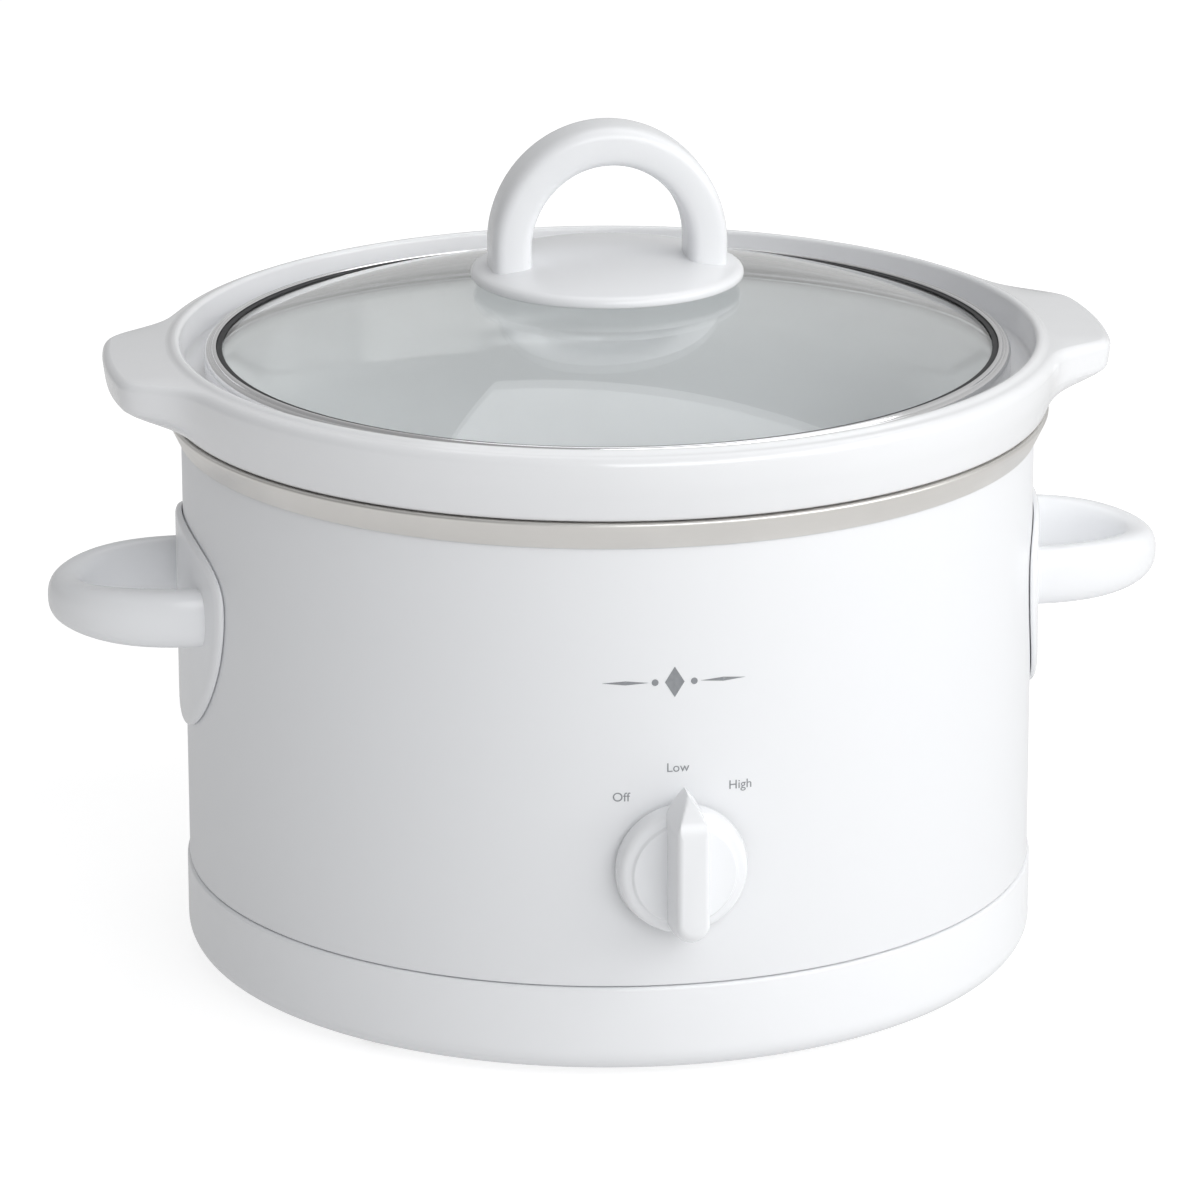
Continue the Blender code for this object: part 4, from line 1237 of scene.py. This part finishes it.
@dataclass
class Lid:
    """The domed glass, its rolled steel rim, the handle and the handle's fixing."""

    bench: Bench
    radius: float = 111.3 * MM
    glass_thick: float = 3.6 * MM
    dome_radius: float = 310.0 * MM
    edge_radius: float = 109.6 * MM
    edge_height: float = 171.6 * MM
    seat: float = 166.5 * MM
    flange_radius: float = 37.6 * MM
    flange_height: float = 191.8 * MM
    loop_top: float = 235.12 * MM
    loop_half: float = 27.2 * MM
    loop_thick: float = 11.2 * MM
    loop_depth: float = 18.0 * MM
    loop_fullness: float = 4.0
    dome_steps: int = 28

    def build(self) -> None:
        """Builds every piece of the lid."""
        self.add_glass()
        self.add_rim()
        self.add_handle()
        self.add_fixing()

    def dome(self, radius: float) -> float:
        """The glass's top face at a distance from the axis."""
        fall = math.sqrt(self.dome_radius**2 - self.edge_radius**2)
        return self.edge_height + math.sqrt(self.dome_radius**2 - radius**2) - fall

    def add_glass(self) -> None:
        """The domed glass with its hole."""
        hole, count = 4.0 * MM, self.dome_steps
        reach = [hole + (self.edge_radius - hole) * i / count for i in range(count + 1)]
        outline = [Corner(r, self.dome(r)) for r in reach]
        outline += [Corner(r, self.dome(r) - self.glass_thick) for r in reach[::-1]]
        self.bench.add("domed_glass", turned(*outline), Body.LID, Slot.GLASS, ["lid_glass"])

    def add_rim(self) -> None:
        """The steel rim rolled over the glass's edge, two beads with a groove between, and a black seal
        ring that also paints in the shade and dark reflection along the glass's edge.
        """
        edge, outer, wall = self.edge_height, self.radius, 0.5 * MM
        lip = outer - 3.45 * MM
        rim = turned(
            Corner(lip, edge + 1.1 * MM, 0.2 * MM, 3),
            Corner(lip, edge + 2.05 * MM, 0.4 * MM, 5),
            Corner(lip + 1.15 * MM, edge + 2.0 * MM, 0.4 * MM, 5),
            Corner(lip + 1.5 * MM, edge + 1.15 * MM, 0.2 * MM, 3),
            Corner(lip + 1.9 * MM, edge + 1.05 * MM, 0.2 * MM, 3),
            Corner(lip + 2.25 * MM, edge + 1.65 * MM, 0.3 * MM, 5),
            Corner(outer - 0.3 * MM, edge + 1.2 * MM, 0.45 * MM, 5),
            Corner(outer, edge + 0.2 * MM, 0.3 * MM, 4),
            Corner(outer, self.seat, 0.5 * MM, 5),
            Corner(outer - 4.0 * MM, self.seat),
            Corner(outer - 4.0 * MM, self.seat + wall),
            Corner(outer - wall, self.seat + wall, 0.2 * MM, 3),
            Corner(outer - wall, edge - 0.6 * MM, 0.3 * MM, 4),
            Corner(outer - 1.3 * MM, edge + 0.55 * MM, 0.3 * MM, 4),
        )
        self.bench.add("rolled_steel_rim", rim, Body.LID, Slot.STEEL, ["lid_rim_band"], finish=RIM_STEEL)
        # The black ring is a sealant, and it also stands in for the painted shade and dark reflection
        # between the rim and the glass.
        inner = lip - 1.6 * MM
        seal = turned(
            Corner(inner, self.dome(inner) + 0.08 * MM),
            Corner(inner, self.dome(inner) + 0.35 * MM, 0.1 * MM, 3),
            Corner(lip - 0.1 * MM, edge + 1.45 * MM, 0.1 * MM, 3),
            Corner(lip - 0.1 * MM, self.dome(lip) + 0.1 * MM),
        )
        self.bench.add("rim_seal_painted_shade", seal, Body.LID, Slot.SILICONE, [], finish=BLACK_RUBBER)

    def add_handle(self) -> None:
        """The handle: a low domed flange with a thin edge, and an arched loop."""
        base, wide = self.flange_height, self.flange_radius
        seat = self.dome(13 * MM) + 1.6 * MM
        flange = turned(
            Corner(0.0, base + 6.4 * MM),
            Corner(20.0 * MM, base + 6.0 * MM, 15.0 * MM, 10),
            Corner(wide - 1.2 * MM, base + 3.0 * MM, 0.8 * MM, 4),
            Corner(wide, base + 2.0 * MM, 0.7 * MM, 5),
            Corner(wide, base, 0.9 * MM, 6),
            Corner(wide - 4 * MM, base + 0.4 * MM, 0.5 * MM, 3),
            Corner(14.0 * MM, base + 2.6 * MM),
            Corner(13.0 * MM, seat),
            Corner(0.0, seat),
            closed=False,
        )
        start = base + 3.6 * MM
        rise = self.loop_half + 1.0 * MM
        leg = self.loop_top - self.loop_thick / 2 - start - rise
        bend = loop_line(self.loop_half, start, leg, rise, 56)
        path = [Vector((across, 0, out)) for across, out in bend]
        half_wide, half_deep = self.loop_thick / 2, self.loop_depth / 2
        loop = swept(path, Vector((0, 1, 0)), half_wide, half_deep, 0.0, self.loop_fullness)
        handle = merged(flange, loop, Merge.JOIN)
        bore = rod(2.3 * MM, 8 * MM, Matrix.Translation((0, 0, seat)))
        handle = merged(handle, bore, Merge.CUT)
        nodes = ["lid_handle"]
        self.bench.add(
            "arched_lid_handle", handle, Body.LID, Slot.WHITE, nodes, sharp_deg=HANDLE_SHARP_DEG
        )

    def add_fixing(self) -> None:
        """The gasket above the glass, and the washer and cross-head screw below it."""
        crown = self.dome(0)
        under = crown - self.glass_thick
        gasket = turned(
            Corner(4.4 * MM, crown + 1.3 * MM, 0.2 * MM, 3),
            Corner(12.6 * MM, crown + 1.3 * MM, 0.3 * MM, 4),
            Corner(12.6 * MM, crown + 0.3 * MM, 0.3 * MM, 4),
            Corner(4.4 * MM, crown + 0.3 * MM, 0.2 * MM, 3),
            steps=FINE_STEPS,
        )
        self.bench.add("glass_gasket", gasket, Body.LID, Slot.SILICONE, ["lid_handle_gasket"])
        washer = turned(
            Corner(2.9 * MM, under - 0.7 * MM, 0.15 * MM, 3),
            Corner(9.0 * MM, under - 0.7 * MM, 0.2 * MM, 3),
            Corner(9.0 * MM, under - 1.6 * MM, 0.35 * MM, 4),
            Corner(2.9 * MM, under - 1.6 * MM, 0.2 * MM, 3),
            steps=FINE_STEPS,
        )
        self.bench.add("fixing_washer", washer, Body.LID, Slot.STEEL, ["lid_handle_washer"])
        screw = turned(
            Corner(0.0, under + 8.2 * MM),
            Corner(2.0 * MM, under + 8.2 * MM, 0.5 * MM, 3),
            Corner(2.0 * MM, under - 1.9 * MM),
            Corner(5.0 * MM, under - 1.9 * MM, 0.3 * MM, 3),
            Corner(4.5 * MM, under - 3.3 * MM, 0.9 * MM, 6),
            Corner(2.6 * MM, under - 4.2 * MM, 0.8 * MM, 5),
            Corner(0.0, under - 4.2 * MM),
            closed=False,
            steps=SMALL_STEPS,
        )
        for turn in (0.0, 90.0):
            cross = bmesh.new()
            size = Matrix.Diagonal((4.6 * MM, 0.95 * MM, 2.6 * MM, 1.0))
            spot = Matrix.Translation((0, 0, under - 4.2 * MM))
            spot = spot @ Matrix.Rotation(math.radians(turn), 4, "Z")
            bmesh.ops.create_cube(cross, size=1.0, matrix=spot @ size)
            screw = merged(screw, cross, Merge.CUT)
        self.bench.add("fixing_screw", screw, Body.LID, Slot.STEEL, ["lid_handle_screw"])


# ---------------------------------------------------------------- the dial


@dataclass
class Dial:
    """The turning knob: a stepped disc with a tapering pointer bar."""

    bench: Bench
    height: float = 61.0 * MM
    back: float = 119.4 * MM
    radius: float = 17.8 * MM
    skirt: float = 6.5 * MM
    bar: float = 13.5 * MM
    bar_half: float = 4.3 * MM
    pointer: float = 23.6 * MM
    point: float = 9.0 * MM
    nose: float = 10.5 * MM
    heel: float = 5.0 * MM
    bore: float = 3.9 * MM
    top_steps: int = 5
    heel_steps: int = 16
    side_steps: int = 12

    def place(self) -> Matrix:
        """Where the dial stands: its own Z comes out of the cooker and its Y is up."""
        spot = self.bench.centre + Vector((0, -self.back, self.height))
        return Matrix.Translation(spot) @ Matrix.Rotation(math.pi / 2, 4, "X")

    def build(self) -> None:
        """Builds the knob."""
        knob = merged(self.disc(), self.grip_bar(), Merge.JOIN)
        bore = rod(self.bore, 10 * MM, Matrix.Translation((0, 0, 6.0 * MM)))
        knob = merged(knob, bore, Merge.CUT)
        place, nodes = self.place(), ["dial_knob"]
        self.bench.add(
            "pointer_knob", knob, Body.DIAL, Slot.WHITE, nodes, place=place, sharp_deg=DIAL_SHARP_DEG
        )

    def disc(self) -> BMesh:
        """The knob's round skirt, with a raised face and a soft step round it.

        Returns:
            The disc as a closed mesh.
        """
        face, wide = self.skirt, self.radius
        return turned(
            Corner(0.0, face),
            Corner(wide - 4.2 * MM, face, 0.25 * MM, 4),
            Corner(wide - 3.6 * MM, face - 0.9 * MM, 0.3 * MM, 4),
            Corner(wide - 1.0 * MM, face - 1.6 * MM, 1.3 * MM, 8),
            Corner(wide, 0.0, 0.3 * MM, 3),
            Corner(wide - 2.0 * MM, 0.0, 0.3 * MM, 3),
            Corner(wide - 2.4 * MM, 3.0 * MM, 0.3 * MM, 3),
            Corner(0.0, 3.0 * MM),
            closed=False,
            steps=FINE_STEPS,
        )

    def grip_bar(self) -> BMesh:
        """The bar: upright sides with a little draft, a soft top, and ends rounded off in side view.

        Returns:
            The bar as a closed mesh.
        """
        low = -self.radius + 1.0 * MM
        soft = 1.5 * MM
        rings = [self.bar_ring(self.skirt - 2.6 * MM, self.bar_half + 0.7 * MM, low, self.pointer)]
        levels = [(0.04 * i, 0.0) for i in range(1, 23)]
        for i in range(self.top_steps + 1):
            turn = 0.1 * math.pi * i
            levels.append((0.89 + 0.11 * math.sin(turn), soft * (1 - math.cos(turn))))
        for share, inset in levels:
            end = 1 - math.sqrt(max(0.0, 1 - (0.97 * share) ** 2))
            half = self.bar_half + 0.6 * MM * (1 - share) - inset
            bottom = low + self.heel * end + inset
            limit = self.pointer - self.nose * end - inset
            rings.append(self.bar_ring(self.skirt + self.bar * share, half, bottom, limit))
        return lofted(rings)

    def bar_ring(self, depth: float, half: float, low: float, limit: float) -> list[Vector]:
        """One level of the bar: round at its lower end, pointed at its upper end and level at a limit.

        Args:
            depth: The level, out from the dial's back.
            half: Half the bar's width there.
            low: The lower end.
            limit: How far up the level may reach.

        Returns:
            The level's outline.
        """
        side = []
        for i in range(self.side_steps):
            share = i / self.side_steps
            side.append((half * (1 - share**1.7), min(limit, self.pointer - self.point * (1 - share))))
        ring = []
        for i in range(self.heel_steps + 1):
            angle = math.pi + math.pi * i / self.heel_steps
            ring.append(Vector((half * math.cos(angle), low + half * (1 + math.sin(angle)), depth)))
        ring += [Vector((across, up, depth)) for across, up in side]
        ring.append(Vector((0.0, min(limit, self.pointer), depth)))
        ring += [Vector((-across, up, depth)) for across, up in reversed(side)]
        return ring


@dataclass(frozen=True)
class Word:
    """One printed word: what it says, and where its middle is on the shell."""

    text: str
    angle_deg: float
    height: float


@dataclass
class Printing:
    """The grey print on the shell: the dial's three settings and a plain ornament."""

    bench: Bench
    shell_radius: float = 118.0 * MM
    ink: float = 0.03 * MM
    size: float = 3.5 * MM
    words: tuple[Word, ...] = (
        Word("Off", -7.65, 80.4 * MM),
        Word("Low", -0.35, 88.2 * MM),
        Word("High", 7.9, 82.3 * MM),
    )
    ornament_deg: float = -0.75
    ornament_height: float = 112.0 * MM

    def build(self) -> None:
        """Prints the words and the ornament."""
        for word in self.words:
            self.print_word(word)
        self.print_ornament()

    def wrapped(self, bm: BMesh, angle_deg: float, height: float) -> None:
        """Wraps a flat mark, drawn in XY, round the front of the shell.

        Args:
            bm: The mark.
            angle_deg: Where its middle goes, to the right of the front.
            height: The height of its middle.
        """
        turn = math.radians(angle_deg)
        surface = self.shell_radius + 0.02 * MM
        for vert in bm.verts:
            radius = surface + vert.co.z
            angle = turn + vert.co.x / self.shell_radius
            vert.co = Vector((radius * math.sin(angle), -radius * math.cos(angle), height + vert.co.y))

    def print_word(self, word: Word) -> None:
        """Prints one word in a plain face."""
        curve = bpy.data.curves.new(word.text, "FONT")
        curve.body = word.text
        curve.size = self.size
        curve.align_x = "CENTER"
        curve.align_y = "CENTER"
        curve.extrude = self.ink / 2
        curve.resolution_u = 6
        helper = placed(word.text, curve)
        graph = bpy.context.evaluated_depsgraph_get()
        bm = bmesh.new()
        bm.from_mesh(helper.evaluated_get(graph).to_mesh())
        bpy.data.objects.remove(helper)
        bpy.data.curves.remove(curve)
        bmesh.ops.translate(bm, vec=(0, 0, self.ink / 2), verts=bm.verts[:])
        bmesh.ops.remove_doubles(bm, verts=bm.verts[:], dist=SLIVER)
        self.wrapped(bm, word.angle_deg, word.height)
        name = f"printed_word_{word.text.lower()}"
        self.bench.add(name, bm, Body.BASE, Slot.SHELL, [], finish=MARK_INK)

    def print_ornament(self) -> None:
        """Prints a plain row: a long diamond between two tapered rules and two dots."""
        marks = [(0.0, 2.6 * MM, 4.2 * MM), (-5.2 * MM, 0.9 * MM, 0.9 * MM), (5.2 * MM, 0.9 * MM, 0.9 * MM)]
        marks += [(-13.0 * MM, 6.2 * MM, 0.55 * MM), (13.0 * MM, 6.2 * MM, 0.55 * MM)]
        bm = bmesh.new()
        for middle, half_wide, half_tall in marks:
            sides = 32 if half_wide == half_tall else 4
            size = Matrix.Diagonal((half_wide, half_tall, self.ink, 1.0))
            place = Matrix.Translation((middle, 0, self.ink / 2)) @ size
            bmesh.ops.create_cone(
                bm, cap_ends=True, segments=sides, radius1=1.0, radius2=1.0, depth=1.0, matrix=place
            )
        bmesh.ops.subdivide_edges(bm, edges=[e for e in bm.edges if e.calc_length() > 4 * MM], cuts=3)
        self.wrapped(bm, self.ornament_deg, self.ornament_height)
        self.bench.add("printed_ornament", bm, Body.BASE, Slot.SHELL, [], finish=MARK_INK)


# ---------------------------------------------------------------- the rest


@dataclass
class HiddenWorks:
    """The CAD pieces inside the cooker, which keep their shape and take their finishes."""

    bench: Bench

    def build(self, frame: dict) -> None:
        """Dresses every CAD node by its slot.

        Args:
            frame: The loaded frame.
        """
        slots = {slot.value: slot for slot in Slot}
        for row in slot_rows(frame["record"]):
            node, slot = row["node"], slots[row["material_slot"]]
            obj = frame["nodes"].get(node)
            if obj is None:
                continue
            material = self.bench.finish(SLOT_FINISHES[slot])
            obj.data.materials.clear()
            obj.data.materials.append(material)
            LOG.info("%s: CAD shape in %s", node, material.name)


def slot_rows(record: dict) -> list[dict]:
    """The record's rows that give each node its slot."""
    found = []
    waiting = [record]
    while waiting:
        item = waiting.pop()
        if isinstance(item, dict):
            if "node" in item and "material_slot" in item:
                found.append(item)
            waiting.extend(item.values())
        elif isinstance(item, list):
            waiting.extend(item)
    return found


def towards(azimuth: float, elevation: float) -> Vector:
    """The way from the cooker to a place round it; azimuth 0 is in front."""
    turn, rise = math.radians(azimuth), math.radians(elevation)
    return Vector((math.sin(turn) * math.cos(rise), -math.cos(turn) * math.cos(rise), math.sin(rise)))


@dataclass
class Softbox:
    """One soft light, aimed at the cooker."""

    name: str
    azimuth: float
    elevation: float
    distance: float
    size: tuple[float, float]
    power: float
    colour: Colour = (1.0, 1.0, 1.0)


@dataclass
class Studio:
    """The pale floor, the soft lights and the camera."""

    bench: Bench
    elevation: float = 17.28
    azimuth: float = -9.2
    distance: float = 1.85
    lens: float = 198.6
    sensor: float = 36.0
    clip: tuple[float, float] = (0.05, 60.0)
    roll: float = -0.15
    aim_height: float = 98.2 * MM
    aim_aside: float = -2.2 * MM
    floor_size: float = 14.0
    floor_glow: float = 0.70
    floor_bounce: float = 0.30
    floor_tone: float = 0.5
    sky: float = 0.50
    sky_lean: float = 0.35
    sky_ceiling: float = 0.15
    lights: tuple[Softbox, ...] = (
        Softbox("key_softbox", 58.0, 28.0, 1.9, (1.5, 1.3), 13.0, (1.0, 0.995, 0.98)),
        Softbox("front_fill", 12.0, 30.0, 2.4, (1.6, 1.2), 17.0, (0.98, 0.99, 1.0)),
        Softbox("top_softbox", 150.0, 66.0, 2.2, (1.8, 1.4), 8.0, (0.98, 0.99, 1.0)),
    )

    def build(self) -> None:
        """Builds the studio."""
        bpy.context.scene.view_settings.view_transform = "Standard"
        self.add_camera()
        self.add_floor()
        self.add_world()
        for light in self.lights:
            self.add_light(light)

    @property
    def aim(self) -> Vector:
        """The point on the cooker's axis that the camera and the lights turn round."""
        return Vector((self.bench.centre.x, self.bench.centre.y, self.aim_height))

    def add_camera(self) -> None:
        """Sets up the camera at the viewing angle."""
        data = bpy.data.cameras.new("camera")
        data.sensor_width = self.sensor
        data.lens = self.lens
        data.clip_start, data.clip_end = self.clip
        camera = placed("camera", data)
        back = towards(self.azimuth, self.elevation)
        turn = math.radians(self.azimuth)
        aside = Vector((math.cos(turn), math.sin(turn), 0))
        aim = self.aim + aside * self.aim_aside
        axes = Matrix((aside, back.cross(aside), back)).transposed()
        axes = axes @ Matrix.Rotation(math.radians(self.roll), 3, "Z")
        camera.matrix_world = Matrix.Translation(aim + back * self.distance) @ axes.to_4x4()
        bpy.context.scene.camera = camera

    def add_floor(self) -> None:
        """A wide pale floor that glows a little, as a lit product table does."""
        bm = bmesh.new()
        bmesh.ops.create_grid(bm, x_segments=2, y_segments=2, size=self.floor_size / 2)
        mesh = bpy.data.meshes.new("studio_floor")
        bm.to_mesh(mesh)
        bm.free()
        floor = placed("studio_floor", mesh)
        sheet = FinishSheet("pale_table", self.bench.centre)
        low, high = (self.floor_tone,) * 3, (self.floor_tone * 1.02,) * 3
        cloud = sheet.between(sheet.noise(3.0, 1.0), 0.0, 1.0)
        sheet.colour(cloud, low, high)
        seen = sheet.between(sheet.ray("Is Camera Ray"), self.floor_bounce, self.floor_glow, 0.0, 1.0)
        sheet.link(seen, "Emission Strength")
        sheet.set(Roughness=0.9, Emission_Color=(1.0, 1.0, 1.0, 1.0), Specular_IOR_Level=0.1)
        mesh.materials.append(sheet.material)

    def add_world(self) -> None:
        """An even pale sky, plain white where it is seen directly."""
        world = bpy.data.worlds.new("studio_air")
        bpy.context.scene.world = world
        world.use_nodes = True
        sheet = NodeSheet(world.node_tree)
        background = sheet.tree.nodes["Background"]
        coords = sheet.tree.nodes.new("ShaderNodeTexCoord")
        parts = sheet.split(coords.outputs["Generated"])
        low, high = self.sky * (1 - self.sky_lean), self.sky * (1 + self.sky_lean)
        lean = sheet.between(parts["X"], low, high, -1.0, 1.0)
        ceiling = sheet.between(parts["Z"], 1.0, 1.0 - self.sky_ceiling, 0.0, 1.0)
        strength = sheet.math("MAXIMUM", sheet.math("MULTIPLY", lean, ceiling), sheet.ray("Is Camera Ray"))
        sheet.tree.links.new(strength, background.inputs["Strength"])
        background.inputs["Color"].default_value = (1.0, 1.0, 1.0, 1.0)

    def add_light(self, light: Softbox) -> None:
        """Hangs one soft light."""
        data = bpy.data.lights.new(light.name, "AREA")
        data.shape = "RECTANGLE"
        data.size, data.size_y = light.size
        data.energy = light.power
        data.color = light.colour
        lamp = placed(light.name, data)
        way = towards(light.azimuth, light.elevation)
        lamp.matrix_world = facing(way, self.aim + way * light.distance)


def main() -> None:
    """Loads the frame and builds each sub-assembly in order."""
    logging.basicConfig(level=logging.INFO, format="%(message)s")
    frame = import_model()
    low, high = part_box("base_ring")
    centre = Vector(((low[0] + high[0]) / 2, (low[1] + high[1]) / 2, 0.0))
    bench = Bench(centre)
    Studio(bench).build()
    HiddenWorks(bench).build(frame)
    CookerBase(bench).build()
    SideHandles(bench).build()
    Crock(bench).build()
    Lid(bench).build()
    Dial(bench).build()
    Printing(bench).build()


if __name__ == "__main__":
    main()
